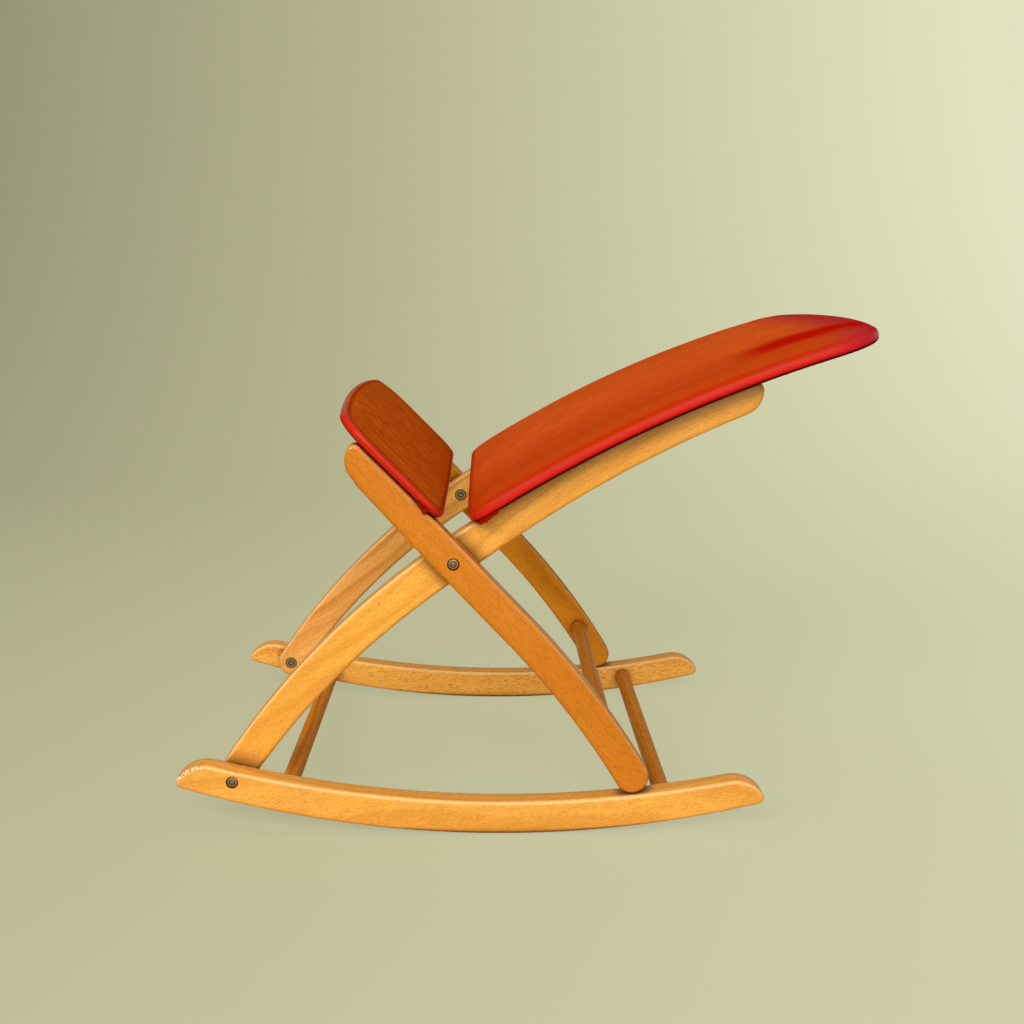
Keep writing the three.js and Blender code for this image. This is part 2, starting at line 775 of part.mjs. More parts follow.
const rockerFrame = new THREE.Group();
rockerFrame.position.z = -rockerRadius;
rockerFrame.add(
  crossbar('rocker_crossbar_front', frontBar, rockerInner),
  crossbar('rocker_crossbar_rear', rearBar, rockerInner),
);
const longFrame = hung(longFootCentre, rockerPivot, longTurn);
longFrame.shifted.add(...panelPieces('long_panel', longPanel, longScrewPlaces, longRailMiddle));
const shortFrame = hung(shortCentreBolt, centreBolt, shortTurn);
shortFrame.shifted.add(
  crossbar('prop_crossbar', propBar, shortRailInner),
  ...panelPieces('short_panel', shortPanel, shortScrewPlaces, shortRailMiddle),
);
sides.forEach(({ label, side }) => {
  rockerFrame.add(
    rocker(label, side),
    pivotBolt(`rocker_bolt_${label}`, rockerPivot, rockerOuter, longRailInner, side),
    sleeveNut(`rocker_sleeve_nut_${label}`, rockerPivot, rockerOuter, longRailInner, side),
    spacerWasher(`rocker_washer_${label}`, rockerPivot, side),
  );
  longFrame.shifted.add(
    longRail(label, side),
    pivotBolt(`centre_bolt_${label}`, longCentreBolt, shortRailOuter, longRailInner, side),
    sleeveNut(`centre_sleeve_nut_${label}`, longCentreBolt, shortRailOuter, longRailInner, side),
    spacerWasher(`centre_washer_${label}`, longCentreBolt, side),
  );
  shortFrame.shifted.add(shortRail(label, side), footPin(label, side));
});
rockerFrame.add(longFrame.group, shortFrame.group);

const leaning = new THREE.Group();
leaning.rotation.y = rockerLean;
leaning.position.z = rockerRadius;
leaning.add(rockerFrame);

// The origin is on the floor, below the middle of the whole length
const legRest = new THREE.Group();
legRest.add(leaning);
const bounds = new THREE.Box3().setFromObject(legRest, true);
leaning.position.x -= (bounds.min.x + bounds.max.x) / 2;
leaning.position.z -= bounds.min.z;

export default legRest;
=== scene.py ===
import json
import math

import bmesh
import bpy
import numpy as np
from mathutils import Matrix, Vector


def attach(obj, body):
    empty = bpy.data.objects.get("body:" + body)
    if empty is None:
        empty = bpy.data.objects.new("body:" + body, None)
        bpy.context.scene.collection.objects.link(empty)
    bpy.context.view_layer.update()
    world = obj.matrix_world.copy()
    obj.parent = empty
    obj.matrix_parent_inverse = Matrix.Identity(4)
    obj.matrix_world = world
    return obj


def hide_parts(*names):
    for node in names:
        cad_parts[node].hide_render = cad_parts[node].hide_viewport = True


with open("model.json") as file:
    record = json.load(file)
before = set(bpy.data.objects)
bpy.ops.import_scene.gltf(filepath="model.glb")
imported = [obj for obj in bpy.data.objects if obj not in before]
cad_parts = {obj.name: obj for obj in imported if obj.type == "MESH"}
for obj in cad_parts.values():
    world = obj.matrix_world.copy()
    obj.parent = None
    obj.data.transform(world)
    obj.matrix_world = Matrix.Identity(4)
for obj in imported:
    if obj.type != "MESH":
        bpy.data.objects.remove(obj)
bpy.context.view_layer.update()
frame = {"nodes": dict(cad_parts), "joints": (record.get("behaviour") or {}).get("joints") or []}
cadNodes = frame["nodes"]
pivots = {joint["name"]: np.array(joint["pos_m"]) * 1000 for joint in frame["joints"]}
print("frame loaded:", len(cadNodes), "nodes")

# Lengths are millimetres until a piece is placed; x runs to the long panel's end, y to the left, z up.
across = {  # each member's inner and outer face, from the middle
    "rocker": (182, 205),
    "longRail": (159, 180),
    "shortRail": (182, 203),
}


# Meshes

def gridQuads(rows, columns, wrap):
    # the corners of every cell: (i, j), (i+1, j), (i+1, j+1), (i, j+1), with the last column joined to the
    # first if it wraps
    i, j = np.meshgrid(np.arange(rows - 1), np.arange(columns if wrap else columns - 1), indexing="ij")
    k = (j + 1) % columns
    corners = [i * columns + j, (i + 1) * columns + j, (i + 1) * columns + k, i * columns + k]
    return np.stack(corners, -1).reshape(-1, 4)


def meshFrom(name, points, faces):
    mesh = bpy.data.meshes.new(name)
    mesh.from_pydata(np.asarray(points, float).reshape(-1, 3).tolist(), [], faces)
    mesh.validate()
    mesh.update()
    return mesh


def cappedLoops(name, rings):
    # rings is an array (rows, around, 3); quads join the rows, and one flat face closes each end
    rows, around = rings.shape[:2]
    last = (rows - 1) * around
    faces = gridQuads(rows, around, True).tolist()
    faces += [list(range(around)), list(range(last + around - 1, last - 1, -1))]
    return meshFrom(name, rings, faces)


def readPoints(mesh):
    points = np.empty(len(mesh.vertices) * 3)
    mesh.vertices.foreach_get("co", points)
    return points.reshape(-1, 3)


def writePoints(mesh, points):
    mesh.vertices.foreach_set("co", np.ascontiguousarray(points, float).ravel())
    mesh.update()


def writeVectors(mesh, name, vectors):
    layer = mesh.attributes.new(name, "FLOAT_VECTOR", "POINT")
    layer.data.foreach_set("vector", np.ascontiguousarray(vectors, float).ravel())


def joined(name, meshes):
    # one mesh from several, their points and faces laid end to end
    points, faces, start = [], [], 0
    for mesh in meshes:
        points.append(readPoints(mesh))
        faces += [[corner + start for corner in face.vertices] for face in mesh.polygons]
        start += len(mesh.vertices)
    return meshFrom(name, np.concatenate(points), faces)


def facedOutwards(mesh, weld=0):
    # all faces turned outwards, after points closer than the weld distance are merged
    bench = bmesh.new()
    bench.from_mesh(mesh)
    if weld:
        bmesh.ops.remove_doubles(bench, verts=bench.verts, dist=weld)
    bmesh.ops.recalc_face_normals(bench, faces=bench.faces)
    bench.to_mesh(mesh)
    bench.free()
    mesh.update()
    return mesh


def sharpened(mesh, degrees):
    # smooth shading, broken where two faces meet at more than the angle
    mesh.polygons.foreach_set("use_smooth", np.ones(len(mesh.polygons), bool))
    mesh.set_sharp_from_angle(angle=math.radians(degrees))
    return mesh


def newObject(name, data):
    piece = bpy.data.objects.new(name, data)
    bpy.context.scene.collection.objects.link(piece)
    return piece


def worked(piece):
    # the object's mesh as its modifiers leave it; the object itself goes
    graph = bpy.context.evaluated_depsgraph_get()
    mesh = bpy.data.meshes.new_from_object(piece.evaluated_get(graph))
    bpy.data.objects.remove(piece)
    return mesh


def cutAway(mesh, tools):
    # the mesh less its cutting tools, by an exact Boolean
    body, tool = newObject("cutBody", mesh), newObject("cutTool", joined("cutTool", tools))
    cut = body.modifiers.new("cut", "BOOLEAN")
    cut.operation, cut.solver, cut.object = "DIFFERENCE", "EXACT", tool
    result = worked(body)
    bpy.data.objects.remove(tool)
    return result


def place(name, mesh, body, material, stands=()):
    mesh.name = name
    mesh.materials.clear()
    mesh.materials.append(material)
    piece = newObject(name, mesh)
    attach(piece, body)
    if stands:
        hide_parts(*stands)
    return piece


# Side views, in x and z with angles counter-clockwise from +x

def heading(angle):
    return np.stack([np.cos(angle), np.sin(angle)], -1)


def turnedBy(points, angle):
    # each point turned about zero: (x cos - z sin, x sin + z cos)
    c, s = math.cos(angle), math.sin(angle)
    return np.asarray(points) @ np.array([[c, s], [-s, c]])


def bearing(start, end):
    return math.atan2(end[1] - start[1], end[0] - start[0])


def arc(centre, radius, start, end, count):
    # count points on a circle, from one angle to another
    return np.asarray(centre) + radius * heading(np.linspace(start, end, count))


def crossing(centreA, radiusA, centreB, radiusB):
    # where two circles meet, on the right of the line between their centres
    gap = np.hypot(*(centreB - centreA))
    along = (gap ** 2 + radiusA ** 2 - radiusB ** 2) / (2 * gap)
    aside = math.sqrt(radiusA ** 2 - along ** 2)
    line = bearing(centreA, centreB)
    return centreA + along * heading(line) + aside * heading(line - math.pi / 2)


def walkEdge(stretches, distance):
    # a chain of arcs from zero: each adds its chord, length times sin(turn/2)/(turn/2), at the heading plus
    # half its turn
    left = np.array(distance, float)
    spot = np.zeros(left.shape + (2,))
    line = np.zeros(left.shape)
    for index, (length, radius) in enumerate(stretches):
        step = left if index == len(stretches) - 1 else np.minimum(left, length)
        turn = step / radius
        spot = spot + (step * np.sinc(turn / 2 / np.pi))[..., None] * heading(line + turn / 2)
        line = line + turn
        left = left - step
    return spot, line


def belowEdge(stretches, distance, depth):
    # a point on the chain, moved square to it and down by the depth
    spot, line = walkEdge(stretches, distance)
    return spot + np.asarray(depth)[..., None] * heading(line - np.pi / 2)


def inSpace(flat, sideways):
    # side-view points (x, z) with their place across as y
    return np.stack([flat[..., 0], np.broadcast_to(sideways, flat.shape[:-1]), flat[..., 1]], -1)


# Wooden members: a side-view outline carried through a rounded edge section

def outward(outline):
    # unit normals of a counter-clockwise loop: the mean of the two neighbouring directions, turned clockwise
    ahead = np.roll(outline, -1, 0) - outline
    ahead /= np.hypot(*ahead.T)[:, None]
    mean = ahead + np.roll(ahead, 1, 0)
    mean /= np.hypot(*mean.T)[:, None]
    return np.stack([mean[:, 1], -mean[:, 0]], -1)


def member(name, outline, low, high, edge):
    # rows across the board: inset from the outline = r (1 - cos a), place = r sin a from the round's middle,
    # with a flat band inside each face
    r = edge["round"]
    angles = np.radians(np.linspace(-90, 90, edge["steps"] * 2))
    half = len(angles) // 2
    inset = r * (1 - np.cos(angles))
    spot = np.where(np.arange(len(angles)) < half, low + r, high - r) + r * np.sin(angles)
    inset = np.concatenate([[r + edge["band"]], inset, [r + edge["band"]]])
    spot = np.concatenate([[low], spot, [high]])
    flat = outline[None] - inset[:, None, None] * outward(outline)[None]
    return cappedLoops(name, inSpace(flat, spot[:, None]))


def spun(pairs, centre, sides):
    # rings of (radius, distance across) about a line along y through the centre
    ring = heading(np.linspace(0, 2 * np.pi, sides, endpoint=False))
    return inSpace(np.asarray(centre) + pairs[:, None, :1] * ring[None], pairs[:, None, 1])


def turnedPiece(name, pairs, centre, side, sides=48):
    # a solid spun from a profile of (radius, distance across); the right side is the mirror image
    pairs = np.array(pairs, float)
    if side < 0:
        pairs = pairs[::-1] * [1, -1]
    return cappedLoops(name, spun(pairs, centre, sides))


def tubePiece(name, pairs, centre, side, sides=48):
    # a tube spun from a closed section of (radius, distance across), its last row joined to its first
    pairs = np.array(pairs, float)
    if side < 0:
        pairs = pairs[::-1] * [1, -1]
    faces = gridQuads(len(pairs) + 1, sides, True) % (len(pairs) * sides)
    return meshFrom(name, spun(pairs, centre, sides), faces.tolist())


def pegPiece(name, pairs, base, angle, middle, sides=32):
    # a solid spun from (radius, depth) about a line in the side view that leaves the base at an angle
    pairs = np.array(pairs, float)
    ring = pairs[:, None, :1] * heading(np.linspace(0, 2 * np.pi, sides, endpoint=False))
    out = heading(angle)
    aside = np.array([out[1], -out[0]])
    flat = np.asarray(base) + pairs[:, None, 1:] * out + ring[..., :1] * aside
    return cappedLoops(name, inSpace(flat, middle + ring[..., 1]))


def settle(mesh, origin, spot, turn):
    # from a member's own side view, in millimetres, to its place in the frame, in metres
    points = readPoints(mesh)
    flat = turnedBy(points[:, [0, 2]] - origin, turn) + spot
    writePoints(mesh, inSpace(flat, points[:, 1]) / 1000)
    return mesh


woodenEdge = {"round": 4, "steps": 7, "band": 1.4, "spacing": 4.5}  # spacing of the points along a rail
boreGap = 0.3
bores = {
    "sleeve": 4.2, "head": 5.6, "headDepth": 3, "flange": 6.6, "flangeDepth": 2.1,
    "tenon": 5.8, "tenonDepth": 12.3, "past": 3,  # how far a cutting tool reaches past the wood
}

rockers = {
    "length": 541, "height": 31, "soleRadius": 981, "topRadius": 1056,
    "noseRadius": 31, "toeRadius": 6, "lean": math.radians(2.15),
    "pivotPlace": -215, "pivotRise": 18.7,
    "frontBar": -168, "rearBar": 177, "barRise": 15.5,
    "holeSpacing": 39, "holeRadius": 3.2, "holeDepth": 7,
}
longRails = {
    "edge": [(289.9, -757), (316, -1267)], "length": 605.9, "boltAt": 289.9,
    "footWidth": 30.3, "width": 35, "tipWidth": 24.5, "taper": 1.5,
    "chordAngle": math.radians(47.01),
}
shortRails = {
    "edge": [(137, -3400), (85, math.inf), (174, -800)], "length": 396, "boltAt": 137,
    "tipWidth": 25.5, "width": 30.5, "footGap": 0.5, "barFromFoot": 42,
    "pinRadius": 2.4, "pinLength": 16,
}
nose = {"share": 0.9, "tight": 7}  # the wide arc's radius as a share of the rail's width, and the tight arc's


def onSole(spot, rise):
    # a point at a place along the rocker, raised over its sole towards the arc's centre
    radius = rockers["soleRadius"] - rise
    return np.array([spot, rockers["soleRadius"] - math.sqrt(radius ** 2 - spot ** 2)])


def rockerOutline():
    # sole arc, toe arc, round nose and hollow top arc, the left end a mirror image of the right
    d = rockers
    topCentre = np.array([0, d["height"] + d["topRadius"]])
    soleCentre = np.array([0, d["soleRadius"]])
    reach = d["topRadius"] + d["noseRadius"]
    tipAngle = math.asin((d["length"] / 2 - d["noseRadius"]) / reach)
    tip = topCentre + reach * heading(tipAngle - math.pi / 2)
    toe = crossing(tip, d["noseRadius"] - d["toeRadius"], soleCentre, d["soleRadius"] - d["toeRadius"])
    right = np.concatenate([
        arc(toe, d["toeRadius"], bearing(soleCentre, toe), bearing(tip, toe), 7),
        arc(tip, d["noseRadius"], bearing(tip, toe), bearing(tip, topCentre), 22)[1:],
    ])
    left = (right * [-1, 1])[::-1]
    sole = arc(soleCentre, d["soleRadius"], bearing(soleCentre, left[-1]), bearing(soleCentre, right[0]), 110)
    top = arc(topCentre, d["topRadius"], bearing(topCentre, right[-1]), bearing(topCentre, left[0]), 110)
    return np.concatenate([sole[1:-1], right, top[1:-1], left]), topCentre


def longWidthAt(distance):
    # even taper below the bolt; above it the width falls by the taper's power of what is left
    d = longRails
    below = d["footWidth"] + (d["width"] - d["footWidth"]) * distance / d["boltAt"]
    share = np.clip(1 - (distance - d["boltAt"]) / (d["length"] - d["boltAt"]), 0, 1)
    above = d["tipWidth"] + (d["width"] - d["tipWidth"]) * share ** d["taper"]
    return np.where(distance < d["boltAt"], below, above)


def shortWidthAt(distance):
    # a quarter sine from the tip's width to the full width at the bolt
    d = shortRails
    share = np.clip(distance / d["boltAt"], 0, 1)
    return d["tipWidth"] + (d["width"] - d["tipWidth"]) * np.sin(share * np.pi / 2)


def noseEnd(edge, end, width, sense):
    # a rail's end under a panel: a wide arc out of the lower edge, then a tight one into the upper edge
    wide, tight = nose["share"] * width, nose["tight"]
    run = math.sqrt((wide - tight) ** 2 - (tight + wide - width) ** 2)
    upperAt = end - sense * tight
    lowerAt = upperAt - sense * run
    tightSpot = belowEdge(edge, upperAt, tight)
    wideSpot = belowEdge(edge, lowerAt, width - wide)
    up = float(walkEdge(edge, end)[1]) + math.pi / 2
    meeting = bearing(wideSpot, tightSpot) + (0 if sense > 0 else 2 * math.pi)
    corners = np.concatenate([
        arc(wideSpot, wide, up - sense * math.pi, meeting, 25),
        arc(tightSpot, tight, meeting, up, 12)[1:],
    ])
    return corners[::int(sense)], lowerAt, upperAt


def roundEnd(edge, end, width, sense):
    # the half circle of a rail about its bolt or foot
    start = float(walkEdge(edge, end)[1]) - sense * math.pi / 2
    return arc(belowEdge(edge, end, width / 2), width / 2, start, start + math.pi, 33), end, end


def railOutline(edge, length, widthAt, farEnd, nearEnd):
    # lower edge, far end, upper edge back, near end
    distance = np.linspace(0, length, int(length / woodenEdge["spacing"]))
    far, farLower, farUpper = farEnd(edge, length, float(widthAt(length)), 1)
    near, nearLower, nearUpper = nearEnd(edge, 0.0, float(widthAt(0.0)), -1)
    onLower = distance[(distance > nearLower + 1) & (distance < farLower - 1)]
    onUpper = distance[(distance > nearUpper + 1) & (distance < farUpper - 1)][::-1]
    return np.concatenate([belowEdge(edge, onLower, widthAt(onLower)), far, walkEdge(edge, onUpper)[0], near])


outlineOfRocker, topCentre = rockerOutline()
rockerPivot = onSole(rockers["pivotPlace"], rockers["pivotRise"])
longFoot = belowEdge(longRails["edge"], 0.0, longRails["footWidth"] / 2)
longBolt = belowEdge(longRails["edge"], longRails["boltAt"], longRails["width"] / 2)
footRadius = shortRails["width"] / 2
shortBolt = belowEdge(shortRails["edge"], shortRails["boltAt"], footRadius)
shortFoot = belowEdge(shortRails["edge"], shortRails["length"], footRadius)
propBar = belowEdge(shortRails["edge"], shortRails["length"] - shortRails["barFromFoot"], footRadius)

# The rails' turns: the long ones at their chosen slope, the short ones where their feet meet the rockers
longTurn = longRails["chordAngle"] - bearing(longFoot, longBolt)
centreSpot = rockerPivot + np.hypot(*(longBolt - longFoot)) * heading(longRails["chordAngle"])
footSpot = crossing(centreSpot, np.hypot(*(shortFoot - shortBolt)), topCentre,
                    rockers["topRadius"] - footRadius - shortRails["footGap"])
shortTurn = bearing(centreSpot, footSpot) - bearing(shortBolt, shortFoot)
footDown = bearing(topCentre, footSpot)

lowerPivot = pivots["long_frame_pivot"][[0, 2]]
upperPivot = pivots["short_frame_pivot"][[0, 2]]
rockerPlace = (rockerPivot, lowerPivot, -rockers["lean"])
longPlace = (longFoot, lowerPivot, longTurn - rockers["lean"])
shortPlace = (shortBolt, upperPivot, shortTurn - rockers["lean"])


# Materials

def linearFromHex(code):
    # sRGB hex to linear light: v/12.92 below 0.04045, and ((v + 0.055)/1.055)^2.4 above
    values = np.array([int(code[i:i + 2], 16) for i in (1, 3, 5)]) / 255
    linear = np.where(values <= 0.04045, values / 12.92, ((values + 0.055) / 1.055) ** 2.4)
    return tuple(float(v) for v in linear) + (1.0,)


def addNode(tree, kind, inputs=(), out=0, stops=(), **settings):
    # one shader node: its inputs are sockets, values or hex colours, in the node's order or by name or number;
    # it gives back the output asked for, or the whole node
    node = tree.nodes.new("ShaderNode" + kind)
    for name, value in settings.items():
        setattr(node, name, value)
    for socket, source in inputs.items() if isinstance(inputs, dict) else enumerate(inputs):
        if isinstance(source, bpy.types.NodeSocket):
            tree.links.new(source, node.inputs[socket])
        else:
            node.inputs[socket].default_value = linearFromHex(source) if isinstance(source, str) else source
    if stops:
        elements = node.color_ramp.elements
        while len(elements) < len(stops):
            elements.new(0.5)
        for element, (position, code) in zip(elements, stops):
            element.position, element.color = position, linearFromHex(code)
    return node if out is None else node.outputs[out]


def newMaterial(name):
    material = bpy.data.materials.new(name)
    material.use_nodes = True
    material.node_tree.nodes.clear()
    return material, material.node_tree


def finished(material, surface):
    addNode(material.node_tree, "OutputMaterial", {"Surface": surface}, None)
    return material


def mottle(tree, spots, along, aside, detail, roughness=0.5):
    # soft patches about the given millimetres long and wide
    cell = addNode(tree, "Mapping", {"Vector": spots, "Scale": (1000 / along, 1000 / aside, 1000 / aside)})
    return addNode(tree, "TexNoise", {"Vector": cell, "Scale": 1.0, "Detail": detail, "Roughness": roughness})


# Steamed beech, flat sawn, sanded and clear lacquered: golden, with soft growth bands that run out in arches,
# fine lengthwise pores, and the short dark spindle-shaped ray flecks that mark beech
def beech(name, light, dark, fleck, amount, fleckSize=(3.6, 0.95), bandWidth=5.0, tilt=0.0, seed=0.0,
          gloss=0.42, specular=0.18, rubbed=0.5, corner=0.012, wornFrom=None):
    material, tree = newMaterial(name)
    grain = addNode(tree, "Attribute", out="Vector", attribute_name="grain")
    shifted = addNode(tree, "Mapping", {
        "Vector": grain, "Location": (seed, seed * 0.7, seed * 1.3), "Rotation": (0, math.radians(tilt), 0)})
    # growth rings: cylinders round a pith line that lies 45 mm off the board and drifts through it
    pith = addNode(tree, "Mapping", {
        "Vector": grain, "Location": (0, 0.045, 0.012 + 0.01 * math.sin(seed * 9)),
        "Rotation": (0, math.radians(3.2), math.radians(1.5)), "Scale": (0.0, 1.0, 1.0)})
    radius = addNode(tree, "VectorMath", [pith], "Value", operation="LENGTH")
    wander = addNode(tree, "MapRange", [mottle(tree, shifted, 150, 40, 1), 0, 1, 0, 0.010])
    ring = addNode(tree, "Math", [radius, wander], operation="ADD")
    bands = addNode(tree, "TexNoise", {"W": ring, "Scale": 1000 / bandWidth, "Detail": 2.0},
                    noise_dimensions="1D")
    colour = addNode(tree, "ValToRGB", [bands], stops=[(0.30, dark), (0.56, light)])
    broad = addNode(tree, "MapRange", [mottle(tree, shifted, 70, 14, 2), 0.35, 0.7, 0, 0.35])
    colour = addNode(tree, "Mix", {0: broad, 6: colour, 7: dark}, 2, data_type="RGBA")
    # pores are under 0.1 mm wide, drawn 1.2 mm wide so that they show
    pores = addNode(tree, "MapRange", [mottle(tree, shifted, 8, 1.2, 2, 0.6), 0.32, 0.66, 0.88, 1.05])
    shaded = addNode(tree, "CombineXYZ", [pores, pores, pores])
    colour = addNode(tree, "Mix", {0: 1.0, 6: colour, 7: shaded}, 2, data_type="RGBA", blend_type="MULTIPLY")
    # flecks: the hearts of stretched cells whose edges a noise of 4 mm makes uneven
    waver = addNode(tree, "TexNoise", {"Vector": shifted, "Scale": 1000 / 3.85, "Detail": 1.0}, "Color")
    uneven = addNode(tree, "VectorMath", [waver, (0.0016, 0.0016, 0.0016), shifted], operation="MULTIPLY_ADD")
    long, wide = fleckSize
    stretch = (1000 / long, 1000 / (wide * 1.5), 1000 / wide)
    cells = addNode(tree, "Mapping", {"Vector": uneven, "Scale": stretch})
    hearts = addNode(tree, "TexVoronoi", {"Vector": cells, "Scale": 1.0})
    flecks = addNode(tree, "MapRange", [hearts, 0.42, 0.26, 0, amount])
    patchy = addNode(tree, "MapRange", [mottle(tree, shifted, 28, 9, 2), 0.30, 0.55, 0.3, 1])
    layers = [(addNode(tree, "Math", [flecks, patchy], operation="MULTIPLY"), fleck)]
    # a painted highlight, paler along the rounded edges that face up; sideways is the normal's share across
    normal = addNode(tree, "NewGeometry", out="Normal")
    facing = addNode(tree, "SeparateXYZ", [normal], None).outputs
    sideways = addNode(tree, "Math", [facing["Y"]], operation="ABSOLUTE")
    rim = addNode(tree, "MapRange", [sideways, 0.40, 0.62])
    for limits in ([sideways, 0.97, 0.86], [facing["Z"], 0.1, 0.4, 0, rubbed]):
        rim = addNode(tree, "Math", [rim, addNode(tree, "MapRange", limits)], operation="MULTIPLY")
    layers.append((rim, "#ffdca4"))
    if wornFrom:
        # the lacquer is knocked off the nose: a pale rubbed rim, with a row of dark dents in it
        worn = addNode(tree, "MapRange", [addNode(tree, "SeparateXYZ", [grain]), *wornFrom])
        for limits in ([sideways, 0.99, 0.92], [sideways, 0.25, 0.5], [facing["Z"], -0.1, 0.1]):
            worn = addNode(tree, "Math", [worn, addNode(tree, "MapRange", limits)], operation="MULTIPLY")
        for size, detail, limits, tint in ((3.0, 2, [0.42, 0.55, 0.1, 0.7], "#ffe2b4"),
                                           (2.2, 1, [0.55, 0.62, 0.0, 0.75], "#6e3e14")):
            patches = addNode(tree, "MapRange", [mottle(tree, shifted, size, size, detail), *limits])
            layers.append((addNode(tree, "Math", [worn, patches], operation="MULTIPLY"), tint))
    # painted shade: darker in the corners where pieces meet, by ambient occlusion within the corner distance
    shadeOcclusion = addNode(tree, "AmbientOcclusion", {"Distance": corner}, "AO", samples=6)
    layers.append((addNode(tree, "MapRange", [shadeOcclusion, 0.45, 0.85, 0.8, 0]), "#4a1804"))
    for mask, tint in layers:
        colour = addNode(tree, "Mix", {0: mask, 6: colour, 7: tint}, 2, data_type="RGBA")
    polish = [mottle(tree, shifted, 60, 12, 2), 0.3, 0.7, gloss - 0.05, gloss + 0.10]
    ridges = mottle(tree, shifted, 20, 0.8, 2)
    return finished(material, addNode(tree, "BsdfPrincipled", {
        "Base Color": colour, "Roughness": addNode(tree, "MapRange", polish),
        "Specular IOR Level": specular, "Coat Weight": specular, "Coat Roughness": 0.16,
        "Normal": addNode(tree, "Bump", {"Height": ridges, "Strength": 0.12, "Distance": 0.0004})}))


# Brass, turned and darkened with age: brown bronze in pale and dark rings, with a painted highlight at the
# middle and painted shade at the rim
def agedBrass():
    material, tree = newMaterial("agedTurnedBrass")
    spots = addNode(tree, "TexCoord", out="Object")
    patches = addNode(tree, "TexNoise", {"Vector": spots, "Scale": 1000 / 2.5, "Detail": 2.0})
    # rings by the distance from the middle, as a share of the rim's: dark rings with bare metal between them,
    # a pale painted highlight at the middle and painted shade at the rim
    turned = addNode(tree, "Attribute", out="Vector", attribute_name="turned")
    rings = addNode(tree, "ValToRGB", [addNode(tree, "SeparateXYZ", [turned])], stops=[
        (0.0, "#dcbc8c"), (0.12, "#6e5234"), (0.22, "#20140a"), (0.33, "#a8845a"), (0.42, "#8c6c48"),
        (0.50, "#1e140a"), (0.58, "#281c10"), (0.70, "#b89468"), (0.84, "#92704a"), (0.92, "#3c2a18"),
        (1.0, "#180e06")])
    dulled = addNode(tree, "Math", [patches, 0.5], operation="MULTIPLY")
    return finished(material, addNode(tree, "BsdfPrincipled", {
        "Base Color": addNode(tree, "Mix", {0: dulled, 6: rings, 7: "#74583a"}, 2, data_type="RGBA"),
        "Metallic": 0.35, "Roughness": 0.42,
        "Normal": addNode(tree, "Bump", {"Height": patches, "Strength": 0.2, "Distance": 0.0002})}))


# Steel, cold rolled for the screws, washers and pins, blued for the cut tacks: a fine dull mottle, its patches
# of the given size in millimetres
def mottledSteel(name, patchSize, detail, stops, roughness):
    material, tree = newMaterial(name)
    spots = addNode(tree, "TexCoord", out="Object")
    patches = addNode(tree, "TexNoise", {"Vector": spots, "Scale": 1000 / patchSize, "Detail": detail})
    return finished(material, addNode(tree, "BsdfPrincipled", {
        "Base Color": addNode(tree, "ValToRGB", [patches], stops=stops),
        "Metallic": 0.9, "Roughness": roughness}))


# Birch plywood, sawn and left bare: pale tan with soft lengthwise figure and a dry surface
def barePlywood():
    material, tree = newMaterial("bareBirchPlywood")
    spots = addNode(tree, "TexCoord", out="Object")
    # the outer veneer's grain runs across the seat, in streaks 4 mm wide and 56 mm long
    stretched = addNode(tree, "Mapping", {"Vector": spots, "Scale": (1000 / 4, 1000 / 55.6, 1000 / 4)})
    figure = addNode(tree, "TexNoise", {"Vector": stretched, "Scale": 1.0, "Detail": 4.0, "Distortion": 0.6})
    return finished(material, addNode(tree, "BsdfPrincipled", {
        "Base Color": addNode(tree, "ValToRGB", [figure], stops=[(0.3, "#9c7644"), (0.7, "#c8a06a")]),
        "Roughness": 0.8,
        "Normal": addNode(tree, "Bump", {"Height": figure, "Strength": 0.3, "Distance": 0.0003})}))


